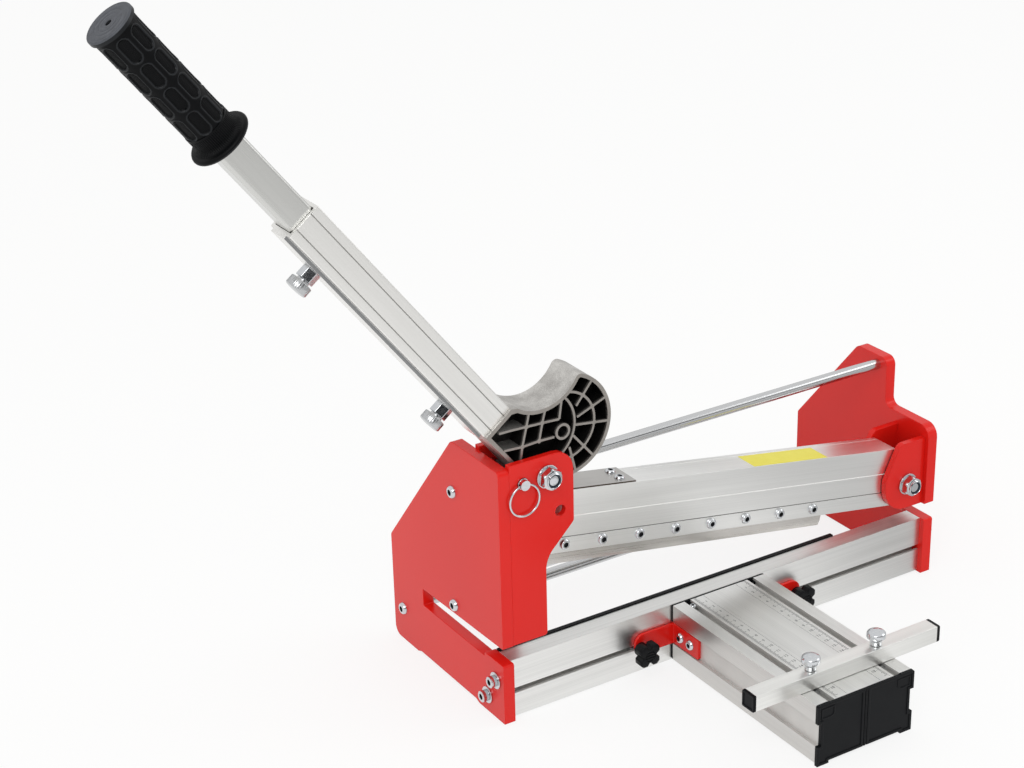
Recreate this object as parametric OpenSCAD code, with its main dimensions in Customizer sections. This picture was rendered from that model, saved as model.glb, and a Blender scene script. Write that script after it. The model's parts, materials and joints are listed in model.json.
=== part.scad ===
// Cam lever cutter for laminate boards, with a hinged blade beam and a sliding measuring table.
// X runs along the base rail, Y from the front to the back and Z up, all in millimetres.
// The whole is drawn from the left end plate's outer face and the rail's front face,
// then moved so that the origin lies under the middle of the cutter.

/* [Base rail] */
// Length of the base rail between the two end plates
rail_l = 451; // [430:1:520]
// Height of the base rail
rail_h = 55; // [54:0.5:60]
// Depth of the base rail at its top
rail_d = 18.3; // [17.5:0.1:20]
// Depth of the base rail at its foot
rail_foot_d = 27.5; // [26.5:0.1:30]
// Height of the hollow foot of the base rail
rail_foot_h = 22; // [21:0.5:24]
// Wall of the base rail
rail_wall = 2.5; // [2.1:0.1:2.9]
// Height of the rail's underside above the surface
rail_lift = 1.5; // [1:0.1:3]
// Width of the mouth of the slot in the rail's front face
rail_slot_w = 5; // [4.6:0.1:6]
// Height of the hollow behind the mouth of the rail's slot
rail_hollow_h = 14; // [12:0.5:15]
// Depth of the hollow behind the mouth of the rail's slot
rail_hollow_d = 6; // [5:0.5:7]
// Length of the black strip that the blade closes on
strip_l = 362; // [340:1:380]
// Thickness of the black strip
strip_t = 4.3; // [4:0.1:5]
// How far the black strip stands above the rail
strip_stand = 1; // [0.5:0.1:2]

/* [End plates] */
// Thickness of the two end plates
plate_t = 10.5; // [8:0.5:12]
// Depth of the end plates from front to back
plate_d = 187; // [182:1:200]
// Depth of the board slot in the end plates
slot_d = 133; // [120:1:140]
// Height of the board slot above the rail at its mouth
slot_mouth_h = 16.3; // [15:0.1:17]
// Height of the right plate's low front part above the surface
right_front_h = 151.3; // [146:0.5:160]
// Height of the right plate's high rear part above the surface
right_back_h = 198; // [194:1:205]
// Diameter of the tie rods
rod_d = 10; // [9:0.5:12]

/* [Cheeks and ears] */
// Gap between the two cheeks that carry the lever
cheek_gap = 40; // [40:0.5:44]
// Thickness of the two cheeks
cheek_t = 6; // [5:0.5:7]
// Thickness of the two ears that carry the beam
ear_t = 6; // [5:0.5:7]
// Diameter of the lever and beam pivot bolts
pivot_d = 10; // [9:0.5:11]
// Distance of the lever pivot from the left end plate
lever_pivot_in = 35.9; // [34:0.1:40]
// Distance of the beam pivot from the right end plate
beam_pivot_in = 19.8; // [19.6:0.1:24]

/* [Beam and blade] */
// Width of the blade beam
beam_w = 30; // [28:0.5:32]
// Height of the blade beam
beam_h = 56.4; // [54:0.2:58]
// Height of the beam's top above its pivot
beam_above = 32.9; // [31:0.1:34]
// Length of the beam to the left of its pivot
beam_reach = 423.5; // [400:0.5:424]
// Angle that the beam is raised to at rest
beam_tilt = 9.77; // [9:0.01:10]
// Thickness of the blade
blade_t = 3; // [2:0.1:4]
// Length of the blade
blade_l = 315.7; // [304:0.1:320]
// How far the blade stands out under the beam
blade_out = 17.4; // [15:0.1:19]
// Thickness of the steel wear plate under the cam
wear_t = 1.5; // [1:0.1:2]
// Length of the steel wear plate
wear_l = 113.9; // [105:0.1:130]
// Number of blade screws
blade_screws_n = 8; // [6:1:8]

/* [Lever] */
// Angle of the lever above the rail at rest, measured from the right
arm_angle = 127.87; // [126:0.01:129]
// Radius of the eccentric cam disc
cam_r = 46.1; // [44:0.1:46.4]
// Width of the cam casting
cam_w = 36.5; // [35:0.5:38]
// Outer size of the square lever sleeve
sleeve_w = 31; // [30:0.2:32]
// Length of the lever sleeve
sleeve_l = 257; // [240:1:280]
// Wall of the lever sleeve
sleeve_wall = 3; // [2.6:0.1:3.4]
// Wall of the square inner tube
tube_wall = 2; // [1.5:0.1:3]
// Length of the inner tube that shows between the sleeve and the grip
tube_show = 85.2; // [80:0.1:100]
// Length of the hand grip
grip_l = 122.6; // [110:0.1:130]
// Radius of the body of the hand grip
grip_r = 17.5; // [17.3:0.1:19]

/* [Measuring table] */
// Width of the measuring table
table_w = 100; // [96:1:110]
// Length of the table's aluminium profile
table_l = 194.8; // [180:0.2:240]
// Distance of the middle of the table from the left end plate
table_place = 215.5; // [180:0.5:260]
// Distance of each top slot from the middle of the table
table_slot_x = 34.5; // [33:0.5:36]
// Width of the mouths of the two top slots
table_slot_w = 6.5; // [6:0.1:7]
// Wall of the measuring table
table_wall = 3; // [2.4:0.1:3.4]
// Length of the fence bar without its caps
fence_l = 191; // [180:1:220]
// Side of the square fence bar
fence_w = 14.7; // [13:0.1:16]
// Distance of the fence bar from the rail
fence_place = 162.5; // [100:0.5:170]

/* [Hidden] */

// General values that many pieces share
$fn = 48;
over = 1;
fit = 0.05;
slip = 0.3;
half = 0.5;
soft_r = 1;

// Rail and strip places
rail_x0 = plate_t;
rail_x1 = plate_t + rail_l;
rail_top = rail_lift + rail_h;
strip_top = rail_top + strip_stand;
strip_room = 0.1;
lip_t = 2.5;
lip_top = 47;
slot_z = 24.7;
port_r = 5;
port_a = [6.7, 36.5];
port_b = [20.7, 15.4];
cut_y = rail_d + strip_t * half;

// End plate places
plate_y0 = cut_y - cheek_gap * half - cheek_t;
plate_y1 = plate_y0 + plate_d;
lip_d = 30;
lip_drop = 3.7;
slot_end_h = 12.7;
left_back_h = 101;
left_top_d = 74.4;
right_ledge_d = 60.9;
right_top_d = 102.5;
right_slope_h = 98;
foot_d = 41.5;
rear_foot_d = 40.8;
foot_ramp = 5.6;
foot_lift = 2.2;
foot_r = 9;
top_r = 5;
left_top_drop = 3.2;
left_top_r = 7;
left_front_r = 4.5;
right_front_r = 12;
ledge_r = 8;
notch_r = 8;

// Pivot places
edge_gap = 0.3;
beam_below = beam_h - beam_above;
beam_x = rail_x1 - beam_pivot_in;
beam_z = strip_top + edge_gap + blade_out + beam_below;
cam_ecc_x = 22.3;
cam_ecc_z = 35.4;
cam_ecc = norm([cam_ecc_x, cam_ecc_z]);
cam_below = 0.3;
lever_x = plate_t + lever_pivot_in;
lever_z = beam_z + beam_above + wear_t + cam_ecc + cam_r - cam_below;

// Cheek outline
cheek_above = 18.3;
cheek_lift = 17;
cheek_foot_w = 33.8;
cheek_head_w = 25.8;
cheek_neck = 75.8;
cheek_throat = 48;
cheek_foot_r = 3;
cheek_neck_r = 25;
cheek_throat_r = 4;
cheek_head_r = 18;
cheek_top = lever_z + cheek_above;
rear_cheek_y = cut_y + cheek_gap * half;

// Ear outline
ear_gap = 0.8;
ear_r = 25.3;
ear_above = 41.3;
ear_top_in = 9.5;
ear_shoulder = 8;
ear_shoulder_r = 10;
front_ear_y = cut_y - beam_w * half - ear_gap - ear_t;
rear_ear_y = cut_y + beam_w * half + ear_gap;

// Lock pin and its holes
pin_r = 4.9;
pin_hole_r = 5;
pin_along = 14;
pin_out = 2.6;
pin_head_r = 4.4;
pin_neck = 0.8;
pin_tail = 2;
lock_radius = 37.4;
lock_angle = -70.3;
ring_r = 14;
ring_wire = 1.8;
ring_hole_r = 1.6;

// Tie rods, given as places from the front and height above the surface
rod_upper = [74.4, 188.9];
rod_lower = [77.5, 79.3];
rod_rear = [169.8, 32.5];
rods = [rod_upper, rod_lower, rod_rear];
rod_screw_d = 6;
rod_screw_head = 11.5;
rod_screw_head_h = 3.3;
rod_screw_depth = 12;
rod_hole_depth = 15;

// Rail bolts
bolt_d = 6;
bolt_head_d = 10;
bolt_head_h = 6;
bolt_depth = 16;
washer_t = 1.6;
washer_d = 15;
plate_hole_gap = 0.2;

// Pivot hardware
nut_af = 17;
nut_h = 8;
nut_collar_h = 2.4;
nut_collar_d = 13.6;
bolt_hex_h = 6.4;
bolt_hex_d = nut_af / cos(30);
pivot_washer_d = 20.5;
pivot_washer_t = 2;
bolt_tip = 1;
bush_wall = 2;
bush_r = pivot_d * half + fit + bush_wall;

// Beam section
beam_wall = 2.5;
beam_tail = 15;
beam_cut_x = 15;
beam_cut_z = 9;
beam_floor = 40;
blade_in = 11.5;
groove_w = 0.8;
groove_d = 0.5;
ridge_share = 0.42;
groove_share = 0.752;
band_share = 0.156;
top_groove_y = 10;
blade_edge = beam_below + blade_out;
blade_start = 80;
blade_slant = 1;
blade_bevel = 5;
blade_tip_w = 0.3;
blade_screw_z = 15.9;
blade_screw_first = 24.7;
blade_screw_last = 20.6;
blade_screw_d = 5;
blade_screw_head = 9;
blade_screw_head_h = 2.8;
wear_screw_in = 11.8;
wear_screw_y = 7;
wear_screw_d = 4;
wear_screw_head = 8;
wear_screw_head_h = 2.4;
wear_screw_depth = 4;
label_l = 84;
label_w = 24;
label_t = 0.15;
label_start = 97;
label_in = 0.5;

// Return spring round the beam pivot, inside the beam
spring_in = 8;
spring_out = 12;
spring_w = 12;
spring_wire = 3;
spring_room = 13.2;
spring_leg = 40;
spring_tip_gap = 0.4;

// Cam casting, in the upright plane with the lever pivot at zero
bite_x = 0.4;
bite_z = 95.5;
bite_r = 39.3;
hub_r = 13.4;
nose_r = 5.5;
nose_steps = 12;
cam_rim = 3.2;
cam_web = 4;
cam_rib = 2;
arm_u = 66.8;
arm_under = 13.3;
arm_over = sleeve_w - arm_under;
joint_wall = 3.5;
boss_x = 21.1;
boss_z = 31.1;
boss_r = 7.2;
lock_hole_r = pin_hole_r;
rib_node_r = 2;
spigot_l = 53;
spigot_gap = 0.05;
arm_mid = arm_over * half - arm_under * half;

// Lever sleeve, tube and grip, measured along the arm from the lever pivot
sleeve_bore = sleeve_w - 2 * sleeve_wall;
sleeve_groove_share = 0.25;
track_w = 21;
track_h = 3;
tube_w = sleeve_bore - 2 * slip;
tube_r = 3;
tube_in = 126;
sleeve_end = arm_u + sleeve_l;
grip_start = sleeve_end + tube_show;
grip_end = grip_start + grip_l;
flange_t = 4.4;
flange_r = 25.9;
band_l = 15;
band_r = 17.8;
flare_r = 22;
flare_l = 5;
disc_t = 4.6;
disc_r = 19.3;
disc_soft = 1.5;
grip_close = 7.6;
grip_hole_r = 2.5;
pad_rows = 8;
pad_l = 20.4;
pad_w = 8.4;
pad_d = 1.1;
pad_pitch = 24.6;
pad_start = 10.9;
pad_turn = 27.6;
clamp_upper = 281;
clamp_lower = 105.5;
clamp_af = 13.6;
clamp_boss_l = 9.6;
clamp_d = 6;
clamp_neck_r = 5.6;
clamp_neck_l = 1.6;
clamp_head_r = 9.4;
clamp_head_l = 6;
clamp_dome = 2.4;

// Measuring table
table_bottom = 2.5;
table_gap = 0.3;
rear_cap_t = 1.9;
front_cap_t = 3.5;
table_x = rail_x0 + table_place;
table_y1 = -table_gap - rear_cap_t;
table_y0 = table_y1 - table_l;
front_y = table_y0 - front_cap_t;
table_hollow_w = 12;
table_hollow_d = 5;
table_lip = 2.5;
recess_z0 = 18.4;
recess_z1 = 40;
recess_d = 3.2;
table_web = 2.5;
cap_foot_w = 12;
cap_over = 0.6;
cap_over_w = 14;
cap_corner_r = 1.5;
cap_line_w = 1;
cap_line_d = 0.6;
cap_line_x = 1.6;

// Brackets and star knobs
bracket_t = 3;
bracket_leg = 38.6;
bracket_arm = 44;
bracket_room = 1;
bracket_end_r = 9.8;
bracket_corner = 2;
bracket_z0 = recess_z0 + bracket_room;
bracket_z1 = recess_z1 - bracket_room;
bracket_screw_y = 13.1;
bracket_screw_pitch = 14.6;
bracket_screw_d = 5;
bracket_screw_head = 9.5;
bracket_screw_head_h = 2.8;
bracket_screw_tip = 3;
stud_gap = 0.4;
stud_d = rail_slot_w - 2 * stud_gap;
knob_place = 36;
knob_x = table_w * half + knob_place;
knob_z = rail_lift + slot_z;
knob_l = 10;
knob_base_l = 6;
knob_base_r = 6.4;
knob_core_r = 7.4;
knob_lobe_r = 4.4;
knob_lobe_x = 7.8;
knob_back = table_gap + bracket_t + slip;
knob_cap = 3;
t_head_l = 12;

// Fence
fence_gap = slip;
fence_cap_t = 3;
fence_y = -fence_place - fence_w * half;
fence_z0 = rail_top + fence_gap;
fence_z1 = fence_z0 + fence_w;
fence_wall = 1.8;
fence_screw_d = 5;
fence_neck_l = 6;
fence_neck_r = 5.2;
fence_head_l = 5.2;
fence_head_r = 8;
fence_dome = 2;
fence_nut_l = 12;
fence_nut_t = table_hollow_d - 2 * slip;

// Reach of the whole cutter, which puts the origin under its middle
arm_c = cos(arm_angle);
arm_s = sin(arm_angle);
reach_u = grip_end - disc_soft;
reach_r = disc_r - disc_soft;
x_min = lever_x + reach_u * arm_c + arm_mid * arm_s - reach_r * arm_s - disc_soft;
x_max = rail_x1 + plate_t + washer_t + bolt_head_h;
centre_x = (x_min + x_max) * half;
centre_y = (front_y + plate_y1) * half;

// Direction of one point seen from another, with length one
function unit(v) = v / norm(v);

// Points of an outline with every corner [x, y, radius] rounded
function rounded(p, n = 6) = [
    for (i = [0 : len(p) - 1])
        let (b = [p[i][0], p[i][1]], r = p[i][2],
             a = [p[(i + len(p) - 1) % len(p)][0], p[(i + len(p) - 1) % len(p)][1]],
             c = [p[(i + 1) % len(p)][0], p[(i + 1) % len(p)][1]],
             u = unit(a - b), v = unit(c - b), turn = acos(u * v),
             m = b + unit(u + v) * r / sin(turn / 2),
             s = b + u * r / tan(turn / 2) - m, e = b + v * r / tan(turn / 2) - m,
             g = atan2(s[1], s[0]), h0 = atan2(e[1], e[0]) - g,
             h = h0 > 180 ? h0 - 360 : h0 < -180 ? h0 + 360 : h0)
        for (k = [0 : r > 0 ? n : 0])
            r > 0 ? m + r * [cos(g + h * k / n), sin(g + h * k / n)] : b
];

// Moves a piece from the rail's own place to the place of the whole cutter
module placed() {
    translate([-centre_x, -centre_y, 0]) children();
}

// Extrudes an outline drawn in Y and Z along X, from x0
module along_x(x0, l) {
    translate([x0, 0, 0]) rotate([90, 0, 90]) linear_extrude(l) children();
}

// Extrudes an outline drawn in X and Z along Y, from y0
module along_y(y0, l) {
    translate([0, y0 + l, 0]) rotate([90, 0, 0]) linear_extrude(l) children();
}

module pin_x(x0, l, y, z, r) {
    translate([x0, y, z]) rotate([0, 90, 0]) cylinder(h = l, r = r);
}

module pin_y(y0, l, x, z, r) {
    translate([x, y0, z]) rotate([-90, 0, 0]) cylinder(h = l, r = r);
}

// Domed screw with a hexagon socket, head up from zero and shank down
module dome_screw(head_d, head_h, d, l) {
    edge = head_h * 0.2;
    rise = head_h - edge;
    ball = (head_d * head_d / 4 + rise * rise) / (2 * rise);
    difference() {
        union() {
            intersection() {
                cylinder(h = head_h, d = head_d);
                translate([0, 0, head_h - ball]) sphere(r = ball, $fn = 96);
            }
            translate([0, 0, -l]) cylinder(h = l + edge, d = d);
        }
        translate([0, 0, head_h * 0.35]) cylinder(h = head_h + over, d = d * 0.7, $fn = 6);
    }
}

// Turned thumb head with a domed face, up from zero
module thumb_head(r, l, dome) {
    ball = (r * r + dome * dome) / (2 * dome);
    cylinder(h = l, r = r);
    intersection() {
        translate([0, 0, l - over * half]) cylinder(h = dome + over * half, r = r);
        translate([0, 0, l + dome - ball]) sphere(r = ball, $fn = 96);
    }
}

module ring_solid(r_out, r_in, l) {
    difference() {
        cylinder(h = l, r = r_out);
        translate([0, 0, -over]) cylinder(h = l + 2 * over, r = r_in);
    }
}

// Section of the base rail, front at zero and underside at zero
module rail_section() {
    lip_y = rail_d + strip_t + strip_room;
    cav_y = rail_wall + rail_hollow_d;
    cav_0 = slot_z - rail_hollow_h * half;
    cav_1 = slot_z + rail_hollow_h * half;
    difference() {
        polygon([[0, 0], [rail_foot_d, 0], [rail_foot_d, rail_foot_h], [lip_y + lip_t, rail_foot_h],
            [lip_y + lip_t, lip_top], [lip_y, lip_top], [lip_y, rail_foot_h],
            [rail_d, rail_foot_h], [rail_d, rail_h], [0, rail_h]]);
        translate([-over, slot_z - rail_slot_w * half]) square([rail_wall + 2 * over, rail_slot_w]);
        translate([rail_wall, cav_0]) square([rail_hollow_d, rail_hollow_h]);
        translate([cav_y + rail_wall, cav_0])
            square([rail_d - cav_y - 2 * rail_wall, rail_hollow_h]);
        difference() {
            translate([rail_wall, cav_1 + rail_wall])
                square([rail_d - 2 * rail_wall, rail_h - cav_1 - 2 * rail_wall]);
            translate(port_a) circle(r = port_r);
        }
        difference() {
            polygon([[rail_wall, rail_wall], [rail_foot_d - rail_wall, rail_wall],
                [rail_foot_d - rail_wall, rail_foot_h - rail_wall], [rail_d, rail_foot_h - rail_wall],
                [rail_d, cav_0 - rail_wall], [rail_wall, cav_0 - rail_wall]]);
            translate(port_b) circle(r = port_r);
        }
        for (port = [port_a, port_b]) translate(port) circle(d = bolt_d + 2 * fit);
    }
}

module base_rail() {
    color("#c9cac8") placed() translate([0, 0, rail_lift]) along_x(rail_x0, rail_l) rail_section();
}

module anvil_strip() {
    color("#22262a") placed()
        translate([rail_x0, rail_d, rail_lift + rail_foot_h])
            cube([strip_l, strip_t, strip_top - rail_lift - rail_foot_h]);
}

// The lower part that both end plates share: feet, board slot and its lip
function plate_slot(front) = [
    [front, rail_top + slot_mouth_h, 1.2 * soft_r],
    [front + slot_d, rail_top + slot_end_h, soft_r],
    [front + slot_d, rail_top - lip_drop, soft_r],
    [front + lip_d, rail_top - lip_drop, 0],
    [front + lip_d, rail_top, soft_r],
    [front, rail_top, 2 * soft_r],
    [front, 0, soft_r],
    [front + foot_d, 0, 0],
    [front + foot_d + foot_ramp, foot_lift, 0],
    [plate_y1 - rear_foot_d - foot_ramp, foot_lift, 0],
    [plate_y1 - rear_foot_d, 0, 0],
    [plate_y1, 0, foot_r]
];

module plate_holes(x0) {
    for (rod = rods)
        pin_x(x0 - over, plate_t + 2 * over, plate_y0 + rod[0], rod[1], rod_screw_d * half + plate_hole_gap);
    for (port = [port_a, port_b])
        pin_x(x0 - over, plate_t + 2 * over, port[0], rail_lift + port[1], bolt_d * half + plate_hole_gap);
}

module left_end_plate() {
    color("#d8392f") placed() difference() {
        along_x(0, plate_t) polygon(rounded(concat(plate_slot(plate_y0), [
            [plate_y1, left_back_h, top_r],
            [plate_y0 + left_top_d, cheek_top - left_top_drop, left_top_r],
            [plate_y0, cheek_top - left_top_drop, left_front_r]])));
        plate_holes(0);
    }
}

module right_end_plate() {
    color("#d8392f") placed() difference() {
        along_x(rail_x1, plate_t) polygon(rounded(concat(plate_slot(plate_y0), [
            [plate_y1, right_slope_h, top_r],
            [plate_y0 + right_top_d, right_back_h, ledge_r],
            [plate_y0 + right_ledge_d, right_back_h, ledge_r],
            [plate_y0 + right_ledge_d, right_front_h, notch_r],
            [plate_y0, right_front_h, right_front_r]])));
        plate_holes(rail_x1);
    }
}

// Place of the stop pin seen from the lever pivot
function pin_place() = let (w = -arm_under - slip - pin_r)
    [lever_x + pin_along * arm_c + w * arm_s, lever_z + pin_along * arm_s - w * arm_c];

module cheek(y0) {
    x0 = plate_t;
    foot_z = rail_top + cheek_lift;
    difference() {
        along_y(y0, cheek_t) polygon(rounded([
            [x0, foot_z, 0],
            [x0 + cheek_foot_w, foot_z, cheek_foot_r],
            [x0 + cheek_foot_w, lever_z - cheek_neck, cheek_neck_r],
            [lever_x + cheek_head_w, lever_z - cheek_throat, cheek_throat_r],
            [lever_x + cheek_head_w, cheek_top, cheek_head_r],
            [x0, cheek_top, 0]]));
        pin_y(y0 - over, cheek_t + 2 * over, lever_x, lever_z, pivot_d * half + fit);
        pin_y(y0 - over, cheek_t + 2 * over, pin_place()[0], pin_place()[1], pin_hole_r);
        pin_y(y0 - over, cheek_t + 2 * over, lever_x + lock_radius * cos(lock_angle),
            lever_z + lock_radius * sin(lock_angle), pin_hole_r);
    }
}

module front_cheek() { color("#dc4238") placed() cheek(plate_y0); }

module rear_cheek() { color("#dc4238") placed() cheek(rear_cheek_y); }

module ear(y0) {
    difference() {
        along_y(y0, ear_t) translate([beam_x, beam_z]) polygon(rounded([
            [beam_pivot_in, -ear_r, 0],
            [beam_pivot_in, ear_above, 0],
            [-ear_top_in, ear_above, ear_shoulder],
            [-ear_r, ear_shoulder, ear_shoulder_r],
            [-ear_r, -ear_r, ear_r - soft_r]], 8));
        pin_y(y0 - over, ear_t + 2 * over, beam_x, beam_z, pivot_d * half + fit);
    }
}

module front_ear() { color("#dc4238") placed() ear(front_ear_y); }

module rear_ear() { color("#dc4238") placed() ear(rear_ear_y); }

module tie_rod(place) {
    color("#b9bbbd") placed() difference() {
        pin_x(rail_x0, rail_l, plate_y0 + place[0], place[1], rod_d * half);
        for (x = [rail_x0 - over, rail_x1 - rod_hole_depth])
            pin_x(x, rod_hole_depth + over, plate_y0 + place[0], place[1], rod_screw_d * half + fit);
    }
}

module upper_tie_rod() { tie_rod(rod_upper); }

module lower_tie_rod() { tie_rod(rod_lower); }

module rear_tie_rod() { tie_rod(rod_rear); }

module tie_rod_screws() {
    l = plate_t + rod_screw_depth;
    color("#c4c6c8") placed() for (rod = rods) {
        translate([0, plate_y0 + rod[0], rod[1]]) rotate([0, -90, 0])
            dome_screw(rod_screw_head, rod_screw_head_h, rod_screw_d, l);
        translate([rail_x1 + plate_t, plate_y0 + rod[0], rod[1]]) rotate([0, 90, 0])
            dome_screw(rod_screw_head, rod_screw_head_h, rod_screw_d, l);
    }
}

module rail_bolt() {
    difference() {
        union() {
            translate([0, 0, washer_t]) cylinder(h = bolt_head_h, d = bolt_head_d);
            translate([0, 0, -plate_t - bolt_depth]) cylinder(h = plate_t + bolt_depth + washer_t, d = bolt_d);
        }
        translate([0, 0, washer_t + bolt_head_h * half])
            cylinder(h = bolt_head_h, d = bolt_head_d * 0.56, $fn = 6);
    }
}

module at_rail_ports() {
    for (port = [port_a, port_b]) {
        translate([0, port[0], rail_lift + port[1]]) rotate([0, -90, 0]) children();
        translate([rail_x1 + plate_t, port[0], rail_lift + port[1]]) rotate([0, 90, 0]) children();
    }
}

module rail_bolts() { color("#c4c6c8") placed() at_rail_ports() rail_bolt(); }

module rail_washers() {
    color("#d2d4d6") placed() at_rail_ports() ring_solid(washer_d * half, bolt_d * half + fit, washer_t);
}

// Pivot bolt with its head at the back, its shank through to the nut at the front
module pivot_bolt(x, z, y_front, y_back) {
    l = y_back - y_front + 2 * pivot_washer_t + nut_h + nut_collar_h + bolt_tip;
    translate([x, y_back + pivot_washer_t, z]) rotate([-90, 0, 0]) {
        cylinder(h = bolt_hex_h, d = bolt_hex_d, $fn = 6);
        translate([0, 0, pivot_washer_t - l]) cylinder(h = l - pivot_washer_t, r = pivot_d * half);
    }
}

// Locking nut with a round collar, facing the front
module pivot_nut(x, z, y_front) {
    translate([x, y_front - pivot_washer_t, z]) rotate([90, 0, 0]) difference() {
        union() {
            cylinder(h = nut_h, d = bolt_hex_d, $fn = 6);
            cylinder(h = nut_h + nut_collar_h, d = nut_collar_d);
        }
        translate([0, 0, -over]) cylinder(h = nut_h + nut_collar_h + 2 * over, r = pivot_d * half + fit);
    }
}

module pivot_washers(x, z, y_front, y_back) {
    for (y = [y_front - pivot_washer_t, y_back])
        translate([x, y, z]) rotate([-90, 0, 0])
            ring_solid(pivot_washer_d * half, pivot_d * half + fit, pivot_washer_t);
}

cheek_back = rear_cheek_y + cheek_t;
ear_back = rear_ear_y + ear_t;

module lever_pivot_bolt() { color("#c4c6c8") placed() pivot_bolt(lever_x, lever_z, plate_y0, cheek_back); }

module lever_pivot_nut() { color("#c4c6c8") placed() pivot_nut(lever_x, lever_z, plate_y0); }

module lever_pivot_washers() {
    color("#d2d4d6") placed() pivot_washers(lever_x, lever_z, plate_y0, cheek_back);
}

module beam_pivot_bolt() { color("#c4c6c8") placed() pivot_bolt(beam_x, beam_z, front_ear_y, ear_back); }

module beam_pivot_nut() { color("#c4c6c8") placed() pivot_nut(beam_x, beam_z, front_ear_y); }

module beam_pivot_washers() {
    color("#d2d4d6") placed() pivot_washers(beam_x, beam_z, front_ear_y, ear_back);
}

// Frame of the beam: pivot at zero, X along the beam, raised by the rest angle
module on_beam() {
    placed() translate([beam_x, cut_y, beam_z]) rotate([0, beam_tilt, 0]) children();
}

module beam_section() {
    hw = beam_w * half;
    slot_hw = blade_t * half + fit;
    difference() {
        translate([-hw, -beam_below]) square([beam_w, beam_h]);
        translate([-hw + beam_wall, beam_above - beam_floor])
            square([beam_w - 2 * beam_wall, beam_floor - beam_wall]);
        translate([-slot_hw, -beam_below - over]) square([2 * slot_hw, blade_in + over + fit]);
        for (side = [-1, 1], share = [ridge_share, groove_share])
            translate([side * hw - groove_d, beam_above - share * beam_h - groove_w * half])
                square([2 * groove_d, groove_w]);
        translate([top_groove_y, beam_above - groove_d * half]) square([groove_w * half, groove_d]);
    }
}

function blade_screw_x(i) = -blade_start - blade_screw_first
    - i * (blade_l - blade_screw_first - blade_screw_last) / (blade_screws_n - 1);

module blade_beam() {
    color("#cfd0ce") on_beam() difference() {
        along_x(-beam_reach, beam_reach + beam_tail) beam_section();
        along_y(-beam_w, 2 * beam_w) polygon([[-beam_cut_x, beam_above + over],
            [beam_tail + over, beam_above + over], [beam_tail + over, beam_cut_z],
            [beam_tail, beam_cut_z], [-beam_cut_x, beam_above]]);
        pin_y(-beam_w, 2 * beam_w, 0, 0, bush_r + fit);
        pin_y(-beam_w * half + beam_wall, beam_w - 2 * beam_wall, 0, 0, spring_room);
        for (i = [0 : blade_screws_n - 1])
            pin_y(-beam_w * half - over, beam_w, blade_screw_x(i), -blade_screw_z, blade_screw_d * half + fit);
        for (side = [-1, 1])
            translate([wear_l - beam_reach - wear_screw_in, side * wear_screw_y, beam_above - 2 * beam_wall])
                cylinder(h = 3 * beam_wall, r = wear_screw_d * half + fit);
    }
}

module blade() {
    top = blade_in - beam_below;
    color("#9fa0a0") on_beam() difference() {
        intersection() {
            along_x(-blade_start - blade_l, blade_l) polygon([[-blade_t * half, top],
                [-blade_t * half, blade_bevel - blade_edge], [-blade_tip_w * half, -blade_edge],
                [blade_tip_w * half, -blade_edge], [blade_t * half, blade_bevel - blade_edge],
                [blade_t * half, top]]);
            along_y(-blade_t, 2 * blade_t) polygon([[-blade_start - blade_l, top],
                [-blade_start, top], [-blade_start, -beam_below],
                [-blade_start - blade_slant, -blade_edge], [-blade_start - blade_l, -blade_edge]]);
        }
        for (i = [0 : blade_screws_n - 1])
            pin_y(-blade_t, 2 * blade_t, blade_screw_x(i), -blade_screw_z, blade_screw_d * half + fit);
    }
}

module blade_screws() {
    color("#c4c6c8") on_beam() for (i = [0 : blade_screws_n - 1])
        translate([blade_screw_x(i), -beam_w * half, -blade_screw_z]) rotate([90, 0, 0])
            dome_screw(blade_screw_head, blade_screw_head_h, blade_screw_d, beam_w * 0.8);
}

module wear_plate() {
    color("#a0a1a1") on_beam() difference() {
        translate([-beam_reach, -beam_w * half, beam_above]) cube([wear_l, beam_w, wear_t]);
        for (side = [-1, 1])
            translate([wear_l - beam_reach - wear_screw_in, side * wear_screw_y, beam_above - over])
                cylinder(h = wear_t + 2 * over, r = wear_screw_d * half + fit);
    }
}

module wear_plate_screws() {
    color("#c4c6c8") on_beam() for (side = [-1, 1])
        translate([wear_l - beam_reach - wear_screw_in, side * wear_screw_y, beam_above + wear_t])
            dome_screw(wear_screw_head, wear_screw_head_h, wear_screw_d, wear_t + wear_screw_depth);
}

module beam_bush() {
    color("#a98b4a") on_beam() translate([0, -beam_w * half, 0]) rotate([-90, 0, 0])
        ring_solid(bush_r, pivot_d * half + fit, beam_w);
}

// Round bar between two points of the upright plane
module bar_xz(a, b, d) {
    v = b - a;
    translate([a[0], 0, a[1]]) rotate([0, 90 - atan2(v[1], v[0]), 0]) cylinder(h = norm(v), d = d);
}

module return_spring() {
    tip = beam_pivot_in - spring_tip_gap - spring_wire * half;
    mid = (spring_in + spring_out) * half;
    color("#55585c") on_beam() {
        translate([0, -spring_w * half, 0]) rotate([-90, 0, 0]) ring_solid(spring_out, spring_in, spring_w);
        bar_xz([-mid * sin(beam_tilt), mid], [-spring_leg, beam_above - beam_wall - spring_wire], spring_wire);
        translate([mid, 0, tip * sin(beam_tilt * half)]) rotate([0, 90, 0])
            cylinder(h = tip + spring_wire * half - mid, d = spring_wire);
    }
}

module beam_label() {
    color("#f2e230") on_beam()
        translate([-label_start - label_l, label_in - beam_w * half, beam_above])
            cube([label_l, label_w, label_t]);
}

// Frame of the lever: pivot at zero, X along the arm, Z to the arm's underside
module on_lever() {
    placed() translate([lever_x, cut_y, lever_z]) rotate([0, -arm_angle, 0]) children();
}

// Point of the upright plane from its place along and across the arm
function arm_pt(u, w) = [u * arm_c + w * arm_s, u * arm_s - w * arm_c];

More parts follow.
